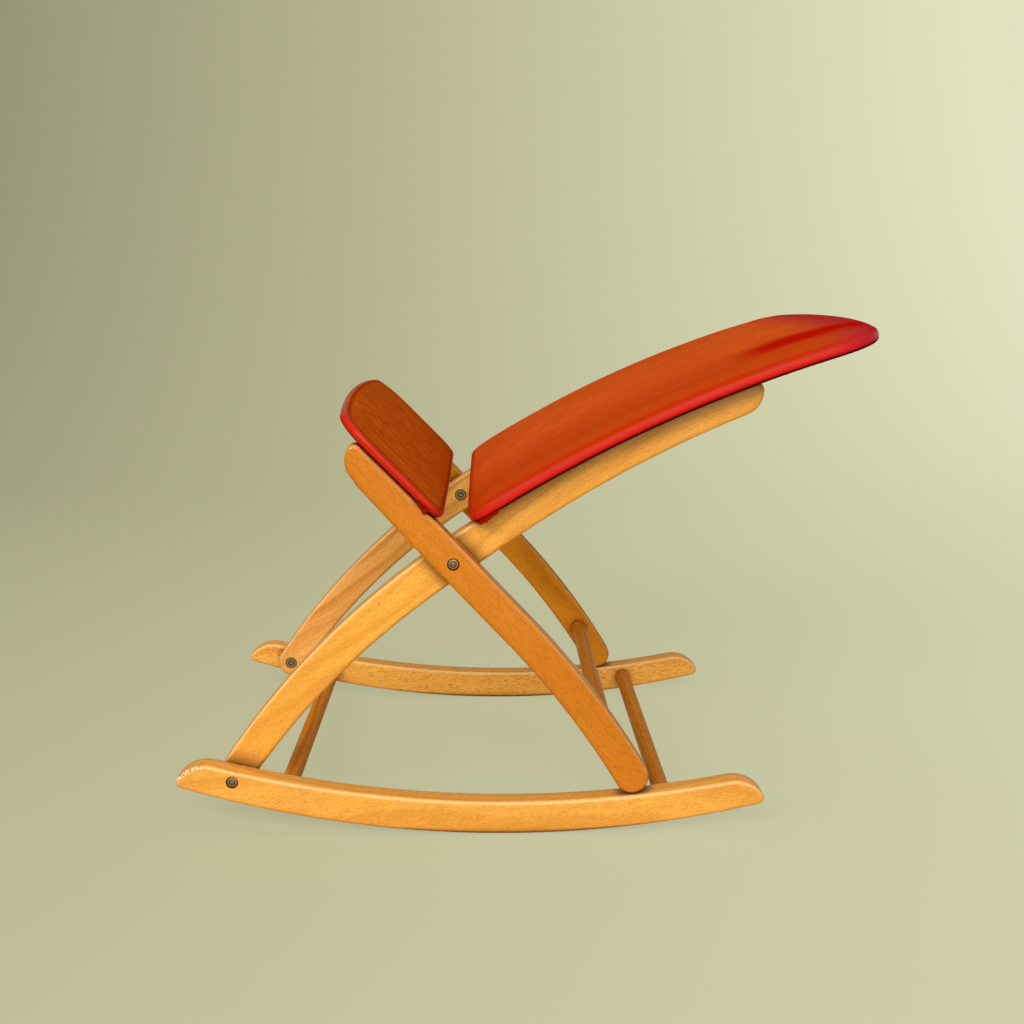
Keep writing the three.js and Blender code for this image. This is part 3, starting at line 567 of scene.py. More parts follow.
# Leathercloth, a coated cotton pressed with a fine grain: satin, faded to orange on top with lengthwise
# rubbed streaks, and still deep red where it turns over the edge
def leathercloth(name, top, rubbed, edgeRed, edgeBright, tuck, shade, shoulder, tip=None):
    material, tree = newMaterial(name)
    smooth = {"interpolation_type": "SMOOTHSTEP"}
    cloth = addNode(tree, "Attribute", out="Vector", attribute_name="cloth")
    along, aside, path = addNode(tree, "SeparateXYZ", [cloth], None).outputs
    streaks = mottle(tree, cloth, 160, 11, 4, 0.55)
    tone = addNode(tree, "ValToRGB", [streaks], stops=[(0.34, rubbed), (0.62, top)])
    worn = addNode(tree, "MapRange", [mottle(tree, cloth, 70, 50, 2, 0.55), 0.4, 0.7, 0, 0.5], **smooth)
    layers, red, redHighlight = [(worn, rubbed)], edgeRed, edgeBright
    if tip:
        # a deeper, darker red towards the near side
        layers.append((addNode(tree, "MapRange", [aside, -0.01, -0.19, 0, 0.75], **smooth), tip["deep"]))
        # crimson at the free end, and towards it a streak of unfaded red that wavers 12 mm either way
        middle, half, start, length = tip["streak"]
        crimson = addNode(tree, "MapRange", [along, length - 0.075, length - 0.010, 0, 0.9], **smooth)
        fromMiddle = addNode(tree, "Math", [aside, -middle], operation="ADD")
        waver = addNode(tree, "Math", [mottle(tree, cloth, 60, 40, 1, 0.55), 0.024, fromMiddle],
                        operation="MULTIPLY_ADD")
        offset = addNode(tree, "Math", [waver, -0.012], operation="ADD")
        gap = addNode(tree, "Math", [offset], operation="ABSOLUTE")
        stripe = addNode(tree, "Math", [
            addNode(tree, "MapRange", [gap, half * 0.2, half, 1, 0], **smooth),
            addNode(tree, "MapRange", [along, start, start + 0.05], **smooth)], operation="MULTIPLY")
        layers += [(crimson, tip["crimson"]), (stripe, tip["red"])]
        edgeEnd = addNode(tree, "MapRange", [along, length - 0.09, length, 0, 0.8], **smooth)
        red, redHighlight = [addNode(tree, "Mix", {0: edgeEnd, 6: tint, 7: tip["magenta"]}, 2, data_type="RGBA")
                       for tint in (edgeRed, edgeBright)]
    for mask, tint in layers:
        tone = addNode(tree, "Mix", {0: mask, 6: tone, 7: tint}, 2, data_type="RGBA")
    # along the path over the edge the tuck's painted shade gives way to bright red with a painted highlight,
    # that to deep red, and that to the top
    for low, high, under in ((0.014, shoulder, red), (0.0095, 0.0130, redHighlight), (shade, shade + 0.003, tuck)):
        over = addNode(tree, "MapRange", [path, low, high], **smooth)
        tone = addNode(tree, "Mix", {0: over, 6: under, 7: tone}, 2, data_type="RGBA")
    # stretched smooth over the edge, it shines there; the flat of the seat is rubbed dull
    shine = addNode(tree, "Math", [
        addNode(tree, "MapRange", [path, 0.0060, 0.0090, 0, 0.18], **smooth),
        addNode(tree, "MapRange", [path, 0.0145, 0.0100], **smooth)], operation="MULTIPLY")
    # the pressed grain is about 0.8 mm across, drawn at 1.4 mm so that it shows
    pressed = addNode(tree, "TexVoronoi", {"Vector": cloth, "Scale": 1000 / 1.4})
    return finished(material, addNode(tree, "BsdfPrincipled", {
        "Base Color": tone, "Specular IOR Level": shine,
        "Roughness": addNode(tree, "MapRange", [streaks, 0.3, 0.7, 0.30, 0.42], **smooth),
        "Normal": addNode(tree, "Bump", {"Height": pressed, "Strength": 0.14, "Distance": 0.0003})}))


# the far boards are set brighter than the near ones: painted light, making up for the shade they stand in
beechBoards = {
    "rockerNear": {
        "name": "steamedBeechGolden", "light": "#f8ae4a", "dark": "#ea9c3c", "fleck": "#c07420",
        "amount": 0.48, "fleckSize": (4.2, 1.0), "tilt": 16, "seed": 0.11, "rubbed": 0.4,
        "wornFrom": (-0.240, -0.249)},  # along the grain, in metres, where the nose's wear begins and is full
    "rockerFar": {
        "name": "steamedBeechFlecked", "light": "#ffb852", "dark": "#f2a040", "fleck": "#b0641a",
        "amount": 0.5, "fleckSize": (7.5, 1.9), "tilt": 8, "seed": 0.31, "specular": 0.12},
    # the near long rail's longer corner distance carries the painted shade down from under the seat's edge
    "longNear": {
        "name": "steamedBeechRail", "light": "#f8ac44", "dark": "#ea9c38", "fleck": "#c07820", "amount": 0.5,
        "fleckSize": (3.4, 0.9), "tilt": -7, "bandWidth": 4, "seed": 0.63, "corner": 0.022},
    "longFar": {
        "name": "steamedBeechPinkish", "light": "#ffb660", "dark": "#e4943e", "fleck": "#b06c2c",
        "amount": 0.35, "bandWidth": 3, "seed": 0.94, "specular": 0.12},
    "shortNear": {
        "name": "oiledBeechOrange", "light": "#d47c16", "dark": "#c26c0c", "fleck": "#9a5208", "amount": 0.42,
        "fleckSize": (5, 1.0), "bandWidth": 7, "seed": 1.27, "gloss": 0.36, "rubbed": 0.18},
    "shortFar": {
        "name": "oiledBeechShaded", "light": "#ec9420", "dark": "#d47c10", "fleck": "#964f06", "amount": 0.35,
        "fleckSize": (5, 1.0), "bandWidth": 6, "seed": 1.58, "specular": 0.05, "rubbed": 0.2},
    "crossbar": {
        "name": "turnedBeechBar", "light": "#e48a1c", "dark": "#c6700c", "fleck": "#8a4604", "amount": 0.4,
        "fleckSize": (9, 1.2), "bandWidth": 4, "seed": 1.9, "specular": 0.05},
}
clothColours = {  # shade and shoulder are distances over the edge, in metres, where the tuck and the red end
    "long": {
        "name": "leatherclothLongPanel", "top": "#e26024", "rubbed": "#d4521a", "edgeRed": "#b42c0a",
        "edgeBright": "#cc1c0c", "tuck": "#500602", "shade": 0.0038, "shoulder": 0.026, "tip": {
            "deep": "#bc3c0a", "red": "#be1200", "crimson": "#b02430", "magenta": "#b01434",
            "streak": (-0.124, 0.044, 0.26, 0.405)}},  # middle, half width, start, cover's length
    # the short panel's cloth is set darker and browner than the long one's: painted shade, as its top faces
    # away from the light
    "short": {
        "name": "leatherclothShortPanel", "top": "#d0641a", "rubbed": "#ba4e0e", "edgeRed": "#a83008",
        "edgeBright": "#c0240c", "tuck": "#500702", "shade": 0.0018, "shoulder": 0.020},
}
wood = {board: beech(**settings) for board, settings in beechBoards.items()}
brass = agedBrass()
steel = mottledSteel("plainRolledSteel", 1.67, 3.0, [(0.3, "#45413c"), (0.7, "#6a655e")], 0.45)
tackSteel = mottledSteel("bluedTackSteel", 1.11, 2.0, [(0.35, "#24262c"), (0.7, "#4a4c54")], 0.4)
plywood = barePlywood()
longCloth, shortCloth = leathercloth(**clothColours["long"]), leathercloth(**clothColours["short"])
print("materials made")


# Rockers, rails, crossbars and hardware

def sawnGrain(mesh, start, end):
    # the board is sawn straight: its grain runs along the line between two points, and across the bend
    points = readPoints(mesh)
    flat = turnedBy(points[:, [0, 2]] - np.asarray(start), -bearing(start, end))
    writeVectors(mesh, "grain", inSpace(flat, points[:, 1]) / 1000)


def boreTool(reach, spot, side):
    # a bore for a sleeve nut, through the member and widened in its outer face for the bolt's head
    low, high = reach[0] - bores["past"], reach[1] + bores["past"]
    seat = reach[1] - bores["headDepth"]
    return turnedPiece("bore", [(bores["sleeve"], low), (bores["sleeve"], seat), (bores["head"], seat),
                                (bores["head"], high)], spot, side)


def socketTool(reach, spot, side):
    # a blind socket for a crossbar's tenon, from the inner face
    ends = (reach[0] - bores["past"], reach[0] + bores["tenonDepth"])
    return turnedPiece("socket", [(bores["tenon"], end) for end in ends], spot, side)


def memberPiece(name, outline, reach, side, tools, grainLine, placement, body, material):
    # a board cut to its outline, bored, and put in its place
    mesh = cutAway(member(name, outline, *sorted((side * reach[0], side * reach[1])), woodenEdge), tools)
    sawnGrain(mesh, *grainLine)
    settle(sharpened(mesh, 35), *placement)
    place(f"beech_{name}", mesh, body, material, [name])


def rockerPiece(label, side, material):
    reach = across["rocker"]
    tools = [boreTool(reach, rockerPivot, side)]
    tools += [socketTool(reach, onSole(rockers[bar], rockers["barRise"]), side)
              for bar in ("frontBar", "rearBar")]
    for step in (-1, 0, 1):
        angle = footDown + step * rockers["holeSpacing"] / rockers["topRadius"]
        mouth = topCentre + rockers["topRadius"] * heading(angle)
        r = rockers["holeRadius"]
        hole = [(r + 1.6, -3), (r + 1.6, -0.4), (r, 1.0), (r, rockers["holeDepth"])]
        tools.append(pegPiece("hole", hole, mouth, angle, side * sum(reach) / 2))
    memberPiece(f"rocker_{label}", outlineOfRocker, reach, side, tools, ((0, 0), (1, 0)),
                rockerPlace, "rockers", material)


def longRailPiece(label, side, material):
    reach, edge, length = across["longRail"], longRails["edge"], longRails["length"]
    inner = reach[0] + bores["flangeDepth"]
    bore = [(bores["flange"], reach[0] - bores["past"]), (bores["flange"], inner),
            (bores["sleeve"], inner), (bores["sleeve"], reach[1] + bores["past"])]
    tools = [turnedPiece("bore", bore, spot, side) for spot in (longFoot, longBolt)]
    outline = railOutline(edge, length, longWidthAt, noseEnd, roundEnd)
    memberPiece(f"long_rail_{label}", outline, reach, side, tools, (longFoot, walkEdge(edge, length)[0]),
                longPlace, "long_frame", material)


def shortRailPiece(label, side, material):
    reach, edge, length = across["shortRail"], shortRails["edge"], shortRails["length"]
    pin = shortRails["pinRadius"] + boreGap
    pinHole = [(pin, footRadius - shortRails["pinLength"] - boreGap), (pin, footRadius + bores["past"])]
    tools = [
        boreTool(reach, shortBolt, side),
        socketTool(reach, propBar, side),
        pegPiece("pinHole", pinHole, shortFoot, footDown - shortTurn, side * sum(reach) / 2),
    ]
    outline = railOutline(edge, length, shortWidthAt, roundEnd, noseEnd)
    memberPiece(f"short_rail_{label}", outline, reach, side, tools, ((0, 0), shortFoot),
                shortPlace, "short_frame", material)


crossbars = {
    "radius": 8, "tenonRadius": 5.5, "tenonLength": 12, "chamfer": (0.8, 1), "ringsAt": (-90, 0, 90),
    "sides": 56,
}


def crossbarPiece(name, centre, placement, body):
    # a dowel with a small chamfer at each shoulder and a tenon in each socket
    r, tenon = crossbars["radius"], crossbars["tenonRadius"]
    drop, run = crossbars["chamfer"]
    shoulder = across["rocker"][0] - boreGap
    end = across["rocker"][0] + crossbars["tenonLength"]
    half = [(r, shoulder - run), (r - drop, shoulder), (tenon, shoulder), (tenon, end - run),
            (tenon - drop, end)]
    pairs = [(radius, -y) for radius, y in half[::-1]] + [(r, y) for y in crossbars["ringsAt"]] + half
    mesh = turnedPiece(name, pairs, centre, 1, crossbars["sides"])
    writeVectors(mesh, "grain", readPoints(mesh)[:, [1, 0, 2]] / 1000)
    settle(sharpened(mesh, 35), *placement)
    place(f"beech_{name}", mesh, body, wood["crossbar"], [name])


hardware = {
    "head": 4.9, "headRound": 0.5, "dome": 4.4, "domeRise": 0.9, "shank": 2.2, "rivet": 2.15,
    "rivetRise": 0.55, "flange": 6.3, "flangeThickness": 1.8, "sleeve": 3.9, "sleeveBore": 2.5,
}


def boltPieces(prefix, outer, inner, centre, placement, body, label, side):
    # a bolt with a rounded rim, a domed head and a groove round its riveted middle, and a sleeve nut whose
    # flange lies in the inner face
    d = hardware
    seat = outer - bores["headDepth"] + boreGap
    rim = [(d["head"] - d["headRound"] * (1 - math.cos(a)), seat + 0.9 + d["headRound"] * math.sin(a))
           for a in np.radians([0, 30, 60, 85])]
    dome = [(r, seat + 1.4 + d["domeRise"] * (1 - (r / d["dome"]) ** 2)) for r in (4.1, 3.6, 3.0)]
    groove = [(2.65, seat + 1.9), (2.4, seat + 1.55), (d["rivet"], seat + 1.9)]
    rivet = [(r, seat + 1.95 + d["rivetRise"] * math.sqrt(1 - (r / d["rivet"]) ** 2))
             for r in (2.05, 1.7, 1.2, 0.6, 0.05)]
    bolt = [(d["shank"] - 0.3, inner + 0.3), (d["shank"], inner + 0.7), (d["shank"], seat), (d["head"], seat)]
    flangeTop, end = inner + d["flangeThickness"], outer - bores["headDepth"]
    nut = [(d["sleeveBore"], inner), (d["flange"] - 0.5, inner), (d["flange"], inner + 0.5),
           (d["flange"], flangeTop), (d["sleeve"], flangeTop), (d["sleeve"], end), (d["sleeveBore"], end)]
    boltMesh = turnedPiece("bolt", bolt + rim + dome + groove + rivet, centre, side)
    nutMesh = tubePiece("nut", nut, centre, side)
    for kind, mesh, widest in (("bolt", boltMesh, d["head"]), ("sleeve_nut", nutMesh, d["flange"])):
        # every point's distance from the axis as a share of the rim's
        share = np.linalg.norm(readPoints(mesh)[:, [0, 2]] - centre, axis=1) / widest
        writeVectors(mesh, "turned", np.stack([share] * 3, axis=1))
        settle(sharpened(mesh, 30), *placement)
        place(f"brass_{prefix}_{kind}_{label}", mesh, body, brass, [f"{prefix}_{kind}_{label}"])


inner = across["longRail"][0]
for label, side, distance in (("left", 1, "Far"), ("right", -1, "Near")):
    rockerPiece(label, side, wood["rocker" + distance])
    longRailPiece(label, side, wood["long" + distance])
    shortRailPiece(label, side, wood["short" + distance])
    boltPieces("rocker", across["rocker"][1], inner, rockerPivot, rockerPlace, "rockers", label, side)
    boltPieces("centre", across["shortRail"][1], inner, longBolt, longPlace, "long_frame", label, side)
for end in ("front", "rear"):
    spot = onSole(rockers[f"{end}Bar"], rockers["barRise"])
    crossbarPiece(f"rocker_crossbar_{end}", spot, rockerPlace, "rockers")
crossbarPiece("prop_crossbar", propBar, shortPlace, "short_frame")
print("wooden frame and hardware made")


# Panels

longPanel = {
    "edge": longRails["edge"], "from": longRails["boltAt"] + 33, "sense": 1, "placement": longPlace,
    "body": "long_frame", "length": 407.5, "halfWidth": 205, "lowerCorner": 20, "upperCorner": 50, "bow": 20,
    "side": 5, "rounding": 10, "crown": 3.4, "cells": 72, "seed": 4, "clothLimit": 0.0015,
}
shortPanel = {
    "edge": shortRails["edge"], "from": shortRails["boltAt"] - 36, "sense": -1, "placement": shortPlace,
    "body": "short_frame", "length": 134.5, "halfWidth": 205, "lowerCorner": 18, "upperCorner": 42, "bow": 13,
    "side": 5, "rounding": 5.5, "crown": 2.6, "cells": 60, "seed": 9, "clothLimit": 0.0012,
}
cover = {
    "roundWidth": 40, "roundPower": 4,  # how far in the edge still rises, and how square it is
    "insets": [0.02, 0.12, 0.43, 1.0, 2.0, 3.6, 6.0, 9.0], "inner": 12.5,
    "hem": 13, "ceiling": 3.2, "tackInset": 9.5, "tackSpacing": 31, "tackRadius": 2.9, "pull": 0.45,
    "gather": 0.5, "hidden": -20.0, "weld": 0.005, "padding": 0.8,
    "heldBelow": 0.0015, "stillBelow": 0.018, "freeAfter": 0.03,  # the cloth's zones over the edge, in metres
}


def panelOutline(panel, count=4000):
    # counter-clockwise loop: a straight end between round corners, and a long arc between wider corners
    w, length, bow = panel["halfWidth"], panel["length"], panel["bow"]
    c0, c1 = panel["lowerCorner"], panel["upperCorner"]
    bowRadius = (w ** 2 + bow ** 2) / (2 * bow)
    depth = bowRadius - math.sqrt((bowRadius - c1) ** 2 - (w - c1) ** 2)
    lean = math.atan2(w - c1, bowRadius - depth)
    upper = np.concatenate([
        arc((length - bowRadius, 0), bowRadius, 0, lean, 300),
        arc((length - depth, w - c1), c1, lean, math.pi / 2, 300)[1:],
        arc((c0, w - c0), c0, math.pi / 2, math.pi, 200),
        [[0, 0]],
    ])
    loop = np.concatenate([upper, (upper * [1, -1])[::-1][1:]])
    run = np.concatenate([[0], np.cumsum(np.hypot(*np.diff(loop, axis=0).T))])
    even = np.linspace(0, run[-1], count, endpoint=False)
    return np.stack([np.interp(even, run, loop[:, 0]), np.interp(even, run, loop[:, 1])], -1)


def onLoop(loop, where):
    # points at fractional places of a closed loop
    low = np.floor(where).astype(int)
    mix = (where - low)[..., None]
    return loop[low % len(loop)] * (1 - mix) + loop[(low + 1) % len(loop)] * mix


def squareOnLoop(loop, middle, cells):
    # a square of cells drawn onto a round-cornered outline: each cell corner gets its share of the way from
    # the middle to the rim, and its place on the loop, worked out side by side between the four corners
    reach = loop - middle
    reach = reach / np.abs(reach).max(0)
    signs = np.array([[1, -1], [1, 1], [-1, 1], [-1, -1]])
    starts = np.array([int(np.argmax(reach @ sign)) for sign in signs])
    spans = (np.roll(starts, -1) - starts) % len(loop)
    tick = np.linspace(-1, 1, cells + 1)
    a, b = np.meshgrid(tick, tick, indexing="ij")
    size = np.maximum(np.abs(a), np.abs(b))
    east = np.abs(a) >= np.abs(b)
    safe = np.where(size > 0, size, 1)
    share = np.where(east, b / safe * np.sign(a), -a / safe * np.sign(b))
    quarter = np.where(east, np.where(a >= 0, 0, 2), np.where(b > 0, 1, 3))
    return size, (starts[quarter] + (share + 1) / 2 * spans[quarter]) % len(loop)


def boundaryOf(grid):
    # the grid's outer ring, counter-clockwise seen from above
    return np.concatenate([grid[:-1, 0], grid[-1, :-1], grid[:0:-1, -1], grid[0, :0:-1]])


def rimDistance(points, loop):
    # the least distance from each point to the outline
    flat = points.reshape(-1, 2)
    few = loop[::4]
    gaps = [np.hypot(*(part[:, None] - few[None]).transpose(2, 0, 1)).min(1)
            for part in np.array_split(flat, 20)]
    return np.concatenate(gaps).reshape(points.shape[:-1])


def topHeight(panel, spots, inset):
    # the widest place's height, a rounded edge that rises as (1 - (1 - d/w)^p)^(1/p), and a crown that falls
    # off to the rim
    past = 1 - np.clip(inset / cover["roundWidth"], 0, 1)
    rise = np.maximum(1 - past ** cover["roundPower"], 0) ** (1 / cover["roundPower"])
    u = np.clip(spots[..., 1] / panel["halfWidth"], -1, 1)
    v = np.clip(2 * spots[..., 0] / panel["length"] - 1, -1, 1)
    crown = panel["crown"] * (1 - u ** 2) * (1 - v ** 2) ** 0.5
    return panel["side"] + panel["rounding"] * rise + crown


def onPanel(panel, spots, height):
    # from the panel's own measures to the side view of its rail: the height stands square to the rail's top
    spot, line = walkEdge(panel["edge"], panel["from"] + panel["sense"] * spots[..., 0])
    flat = spot + (boreGap + height)[..., None] * heading(line + np.pi / 2)
    return inSpace(flat, panel["sense"] * spots[..., 1])


def tackPlaces(panel, loop):
    # the tacks' evenly spaced places on the loop, and the outline's length
    length = np.hypot(*np.diff(np.concatenate([loop, loop[:1]]), axis=0).T).sum()
    count = int(round(length / cover["tackSpacing"]))
    return np.arange(count) * len(loop) / count, length


def pulledIn(panel, loop, where, height):
    # the low side is drawn in at each tack and gathered in small folds at the corners; both fade out upwards
    tacks, length = tackPlaces(panel, loop)
    step = len(loop) / len(tacks)
    draw = np.random.default_rng(panel["seed"])
    strength = draw.uniform(0.35, 1.0, len(tacks))
    nearest = np.round(where / step).astype(int)
    off = (where / step - nearest) * cover["tackSpacing"]
    dimple = strength[nearest % len(tacks)] * np.exp(-(off / 6.5) ** 2)
    corner = loop - np.array([panel["length"] / 2, 0])
    corner = (np.abs(corner) / np.abs(corner).max(0)).min(1)
    turn = np.clip((onLoop(corner[:, None], where)[..., 0] - 0.80) / 0.12, 0, 1)
    folds = 0.5 + 0.5 * np.sin(where / len(loop) * length * 2 * np.pi / 7.5 + 2.2 * np.sin(where / 37))
    fade = np.clip(1 - height / (panel["side"] + 5), 0, 1)
    return (cover["pull"] * dimple + cover["gather"] * folds * turn) * fade


def inflated(name, mesh, held, share, limit):
    # the cover as cloth under a little air pressure for 20 frames, held along its underside; each point takes
    # its share of the movement, and none moves past the limit
    before = readPoints(mesh)
    body = newObject(name, mesh.copy())
    group = body.vertex_groups.new(name="held")
    group.add(np.flatnonzero(held).tolist(), 1.0, "REPLACE")
    cloth = body.modifiers.new("cloth", "CLOTH")
    settings = cloth.settings
    settings.quality, settings.mass = 6, 0.3
    settings.tension_stiffness = settings.compression_stiffness = 25
    settings.bending_stiffness = 1.0
    settings.use_pressure, settings.uniform_pressure_force = True, 4.0
    settings.vertex_group_mass = "held"
    settings.effector_weights.gravity = 0
    settings.shrink_min = -0.006
    cloth.collision_settings.use_collision = False
    cloth.point_cache.frame_start, cloth.point_cache.frame_end = 1, 20
    for frameNumber in range(1, 21):
        bpy.context.scene.frame_set(frameNumber)
    shift = readPoints(worked(body)) - before
    bpy.context.scene.frame_set(1)
    size = np.linalg.norm(shift, axis=1, keepdims=True)
    shift *= np.minimum(1, limit / np.maximum(size, 1e-9)) * share[:, None]
    most, median = size.max() * 1000, np.median(size) * 1000
    print(f"{name}: cloth moved {most:.1f} mm at most, {median:.1f} mm at the median")
    writePoints(mesh, before + shift)


def subdivided(mesh):
    # one level of smooth subdivision
    piece = newObject("subdivide", mesh)
    divide = piece.modifiers.new("divide", "SUBSURF")
    divide.levels = divide.render_levels = 1
    return worked(piece)


def coverPiece(name, panel, material, stands):
    # rows of points round the edge, from the ceiling inside the board out over the hem, round the lower edge,
    # up the side and over to the top, closed by a grid of cells on the top and one under the ceiling
    loop = panelOutline(panel)
    out = outward(loop)
    middle = np.array([panel["length"] / 2, 0])
    size, where = squareOnLoop(loop, middle, panel["cells"])
    ringWhere = boundaryOf(where)
    around, side = len(ringWhere), panel["side"]
    hem = cover["hem"]
    section = [(hem, cover["ceiling"]), (hem, 0.5), (hem - 0.5, 0), (cover["tackInset"], 0)]
    section += [(side * (1 - math.cos(a)), side * (1 - math.sin(a))) for a in np.radians([90, 66, 44, 22, 0])]
    rows = [(inset, np.full(around, height)) for inset, height in section]
    for inset in cover["insets"]:
        spots = onLoop(loop - inset * out, ringWhere)
        rows.append((inset, topHeight(panel, spots, np.full(around, inset))))
    insets = np.array([inset for inset, height in rows])
    heights = np.stack([height for inset, height in rows])
    pull = pulledIn(panel, loop, ringWhere[None], heights)
    drawn = insets[:, None] + pull * (insets < hem - 1)[:, None]
    spots = onLoop(loop, ringWhere)[None] - drawn[..., None] * onLoop(out, ringWhere)[None]
    inner, under = [middle + size[..., None] * (onLoop(loop - inset * out, where) - middle)
                    for inset in (cover["inner"], hem)]
    innerInset = rimDistance(inner, loop)
    flat = np.concatenate([spots.reshape(-1, 2), inner.reshape(-1, 2), under.reshape(-1, 2)])
    tall = np.concatenate([heights.ravel(), topHeight(panel, inner, innerInset).ravel(),
                           np.full(size.size, cover["ceiling"])])
    # path length over the edge from the turn under the side, which the cloth's colours follow
    inwards = np.diff(insets, prepend=insets[0])[:, None]
    upwards = np.diff(heights, axis=0, prepend=heights[:1])
    path = np.cumsum(np.hypot(inwards, upwards), 0)
    path -= path[4]
    paths = np.concatenate([path.ravel(), (path[-1].mean() + innerInset - cover["insets"][-1]).ravel(),
                            np.full(size.size, cover["hidden"])])
    cells = gridQuads(*size.shape, False)
    last = (len(insets) - 1) * around + np.arange(around)
    rim = heights.size + boundaryOf(np.arange(size.size).reshape(size.shape))
    faces = np.concatenate([gridQuads(len(insets), around, True)[:, ::-1], heights.size + cells,
                            heights.size + size.size + cells[:, ::-1],
                            np.stack([np.roll(last, -1), last, rim, np.roll(rim, -1)], -1)])
    mesh = meshFrom(name, onPanel(panel, flat, tall), faces.tolist())
    writeVectors(mesh, "cloth", np.column_stack([flat, paths]) / 1000)
    facedOutwards(mesh, cover["weld"])
    vectors = np.empty(len(mesh.vertices) * 3)
    mesh.attributes["cloth"].data.foreach_get("vector", vectors)
    path = vectors[2::3]
    settle(mesh, *panel["placement"])
    share = np.clip((path - cover["stillBelow"]) / cover["freeAfter"], 0, 1)
    inflated(name, mesh, path < cover["heldBelow"], share, panel["clothLimit"])
    piece = place(name, sharpened(subdivided(mesh), 60), panel["body"], material, stands)


def frayPiece(name, panel, material, path, tufts):
    # torn ends of the hem that hang under the edge: each a flat tapering twist, as
    # (along, inset, width, top, drop) in millimetres
    turn = np.linspace(0, 2 * np.pi, 14, endpoint=False)
    t = np.linspace(0, 1, 6)[:, None]
    meshes = []
    for number, (along, inset, width, top, drop) in enumerate(tufts):
        wave = np.sin(3.1 * turn[None] + 2.7 * number + 4 * t)
        reach = width / 2 * (1 - 0.55 * t) * (1 + 0.25 * wave)
        x = along + 1.5 * np.sin(2.2 * t + number) + reach * np.cos(turn)
        y = panel["sense"] * (inset - panel["halfWidth"]) + 0.3 * np.sin(3 * t + number)
        y = y + 0.7 * (1 - 0.4 * t) * np.sin(turn)
        points = onPanel(panel, np.stack([x, y], -1), top - drop * t - 0.5 * wave * t)
        meshes.append(cappedLoops("tuft", points))
    mesh = facedOutwards(joined(name, meshes))
    # the frays take the cloth's colour at one path over the edge, partly the tuck's painted shade
    writeVectors(mesh, "cloth", np.tile([0, 0, path], (len(mesh.vertices), 1)))
    settle(mesh, *panel["placement"])
    place(name, mesh, panel["body"], material)


def tackPiece(name, panel, material, rails):
    # domed tack heads under the hem, left out where a rail lies on it
    loop = panelOutline(panel)
    spots = onLoop(loop - cover["tackInset"] * outward(loop), tackPlaces(panel, loop)[0] + 3)
    clear = (np.abs(spots[:, 1]) < rails[0] - 4) | (np.abs(spots[:, 1]) > rails[1] + 4)
    spots, r = spots[clear], cover["tackRadius"]
    rings = [(r, 0.35)] + [(r * math.cos(a), -0.1 - 0.5 * math.sin(a)) for a in np.radians([0, 30, 60, 84])]
    radius, height = np.array(rings).T
    ring = heading(np.linspace(0, 2 * np.pi, 14, endpoint=False))
    flat = spots[:, None, None] + radius[None, :, None, None] * ring[None, None]
    points = onPanel(panel, flat, np.broadcast_to(height[None, :, None], flat.shape[:3]))
    mesh = facedOutwards(joined(name, [cappedLoops("tack", head) for head in points]))
    settle(sharpened(mesh, 40), *panel["placement"])
    place(name, mesh, panel["body"], material)


coverPiece("leathercloth_long_panel", longPanel, longCloth, ["long_panel_cover", "long_panel_pad"])
coverPiece("leathercloth_short_panel", shortPanel, shortCloth, ["short_panel_cover", "short_panel_pad"])
frayPiece("leathercloth_frays_long", longPanel, longCloth, 0.0050, [
    (7, 4.5, 7, 1.6, 3.4), (12, 2.4, 6, 1.8, 4.2), (17.5, 1.8, 8, 1.6, 3.0), (25, 1.8, 9, 1.4, 2.4)])
frayPiece("leathercloth_frays_short", shortPanel, shortCloth, 0.0030, [
    (14, -0.6, 5, 3.4, 6.0), (18, -0.6, 4, 3.2, 4.6), (23, -0.6, 7, 3.0, 3.4)])
tackPiece("tacks_long_panel", longPanel, tackSteel, across["longRail"])
tackPiece("tacks_short_panel", shortPanel, tackSteel, across["shortRail"])
print("panels made")

for name, node in cadNodes.items():
    finish = None
    if "screw" in name or "washer" in name or name.startswith("foot_pin"):
        finish = steel
    if name.endswith("_board"):
        finish = plywood
    if finish:
        node.data.materials.clear()
        node.data.materials.append(finish)


# Camera, light and floor

view = {  # metres from the rocker pivot in x, and degrees
    "lens": 45.703, "sensor": 36, "place": (0.2279, -1.31208, 0.5016), "down": 10.4426, "right": 1.2013,
}
camera = bpy.data.cameras.new("camera")
camera.lens, camera.sensor_width = view["lens"], view["sensor"]
cameraObject = newObject("camera", camera)
cameraObject.location = (lowerPivot[0] / 1000 + view["place"][0], *view["place"][1:])
cameraObject.rotation_euler = (math.radians(90 - view["down"]), 0, math.radians(-view["right"]))
bpy.context.scene.camera = cameraObject


def softLight(name, location, target, wide, high, power):
    lamp = bpy.data.lights.new(name, "AREA")
    lamp.shape, lamp.size, lamp.size_y, lamp.energy = "RECTANGLE", wide, high, power
    holder = newObject(name, lamp)
    holder.location = location
    holder.rotation_euler = (Vector(target) - Vector(location)).to_track_quat("-Z", "Y").to_euler()


lights = {  # place, the point it faces, width, height, power
    "keyLight": ((-0.8, -2.8, 2.1), (0, 0, 0.22), 3.2, 0.9, 95),
    "fillLight": ((0.6, -4.0, 0.7), (0, 0, 0.2), 1.8, 1.8, 34),
    "topLight": ((0.1, -0.3, 2.2), (0, 0, 0.2), 0.7, 0.7, 4),
}
for name, light in lights.items():
    softLight(name, *light)

world = bpy.data.worlds.new("studio")
world.use_nodes = True
bpy.context.scene.world = world
skyInputs = world.node_tree.nodes["Background"].inputs
skyInputs["Color"].default_value = linearFromHex("#f2ecd4")
skyInputs["Strength"].default_value = 0.35


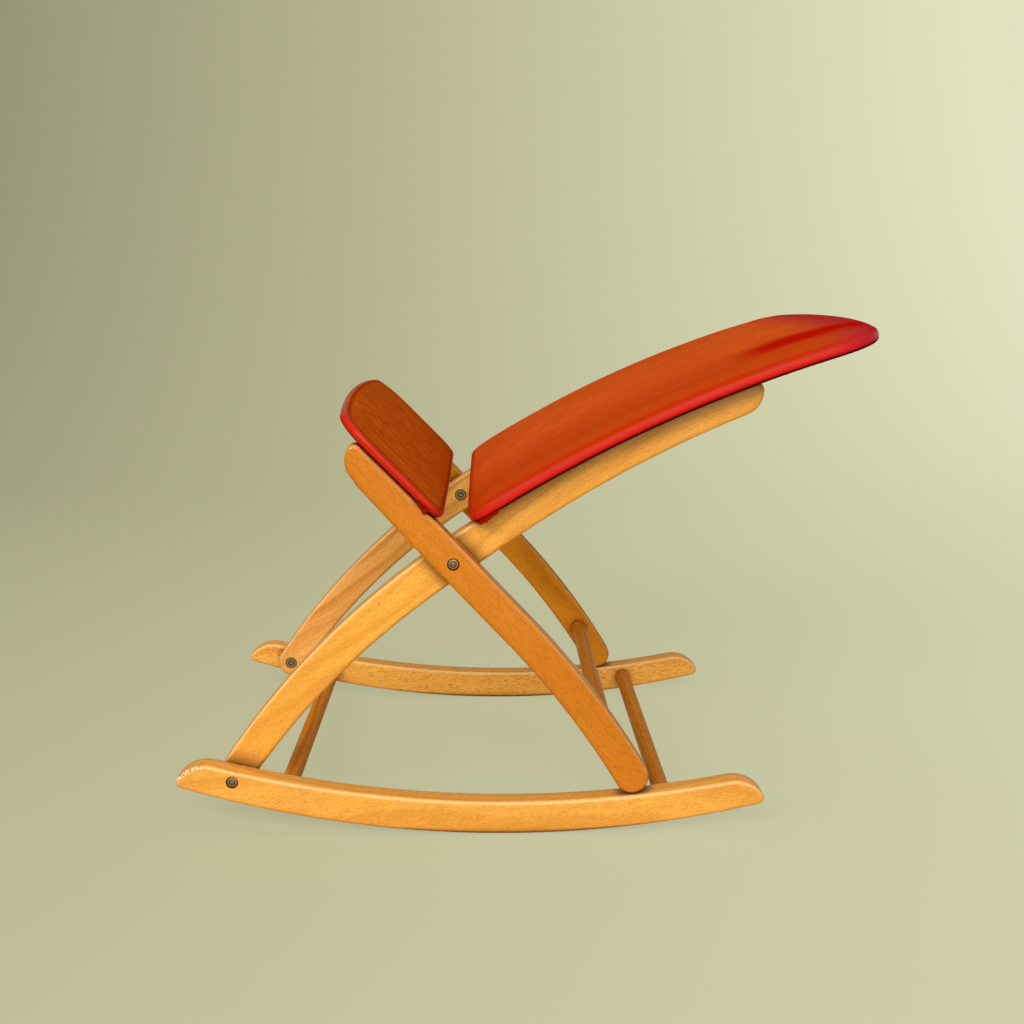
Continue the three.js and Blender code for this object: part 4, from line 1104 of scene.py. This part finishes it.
# Backdrop paper, matt: to the camera most of it glows evenly, paler to the right, and the rest takes the
# light and shadow
def backdropPaper():
    material, tree = newMaterial("mattPaperBackdrop")
    matt = addNode(tree, "BsdfPrincipled", {
        "Base Color": "#b9ba96", "Roughness": 0.9, "Specular IOR Level": 0.1})
    spots = addNode(tree, "TexCoord", out="Object")
    spots = addNode(tree, "Mapping", {"Vector": spots, "Location": (0.5, 0, 0), "Scale": (0.21, 0, 0)})
    tone = addNode(tree, "ValToRGB", [addNode(tree, "SeparateXYZ", [spots])],
                   stops=[(0.12, "#98977a"), (0.42, "#c3c19b"), (0.85, "#fafad6")])
    glow = addNode(tree, "Emission", {"Color": tone})
    ray = addNode(tree, "LightPath", out=None).outputs
    seen = ray["Is Camera Ray"]
    for kind in ("Is Glossy Ray", "Is Transmission Ray"):
        seen = addNode(tree, "Math", [seen, ray[kind]], operation="MAXIMUM")
    share = addNode(tree, "Math", [seen, 0.72], operation="MULTIPLY")
    return finished(material, addNode(tree, "MixShader", [share, matt, glow]))


paper = {"front": -5.5, "back": 1.6, "bendRadius": 2.0, "top": 5.5, "halfWidth": 6}  # metres


def sweep():
    # a floor that curves up into a back wall: x across, a profile of a flat, a quarter circle and an upright
    radius, reach = paper["bendRadius"], paper["back"]
    bend = np.radians(np.linspace(0, 90, 40))
    profile = np.concatenate([
        [[paper["front"], 0]], [[reach, 0]],
        np.stack([reach + radius * np.sin(bend), radius * (1 - np.cos(bend))], -1)[1:],
        [[reach + radius, paper["top"]]],
    ])
    x = np.linspace(-paper["halfWidth"], paper["halfWidth"], 3)
    grid = np.stack(np.broadcast_arrays(x[None, :], profile[:, :1], profile[:, 1:]), -1)
    mesh = meshFrom("studioSweep", grid, gridQuads(len(profile), 3, False)[:, ::-1].tolist())
    mesh.polygons.foreach_set("use_smooth", np.ones(len(mesh.polygons), bool))
    mesh.materials.append(backdropPaper())
    newObject("studioSweep", mesh)


sweep()
scene = bpy.context.scene
scene.view_settings.view_transform = "Standard"
print("scene ready")
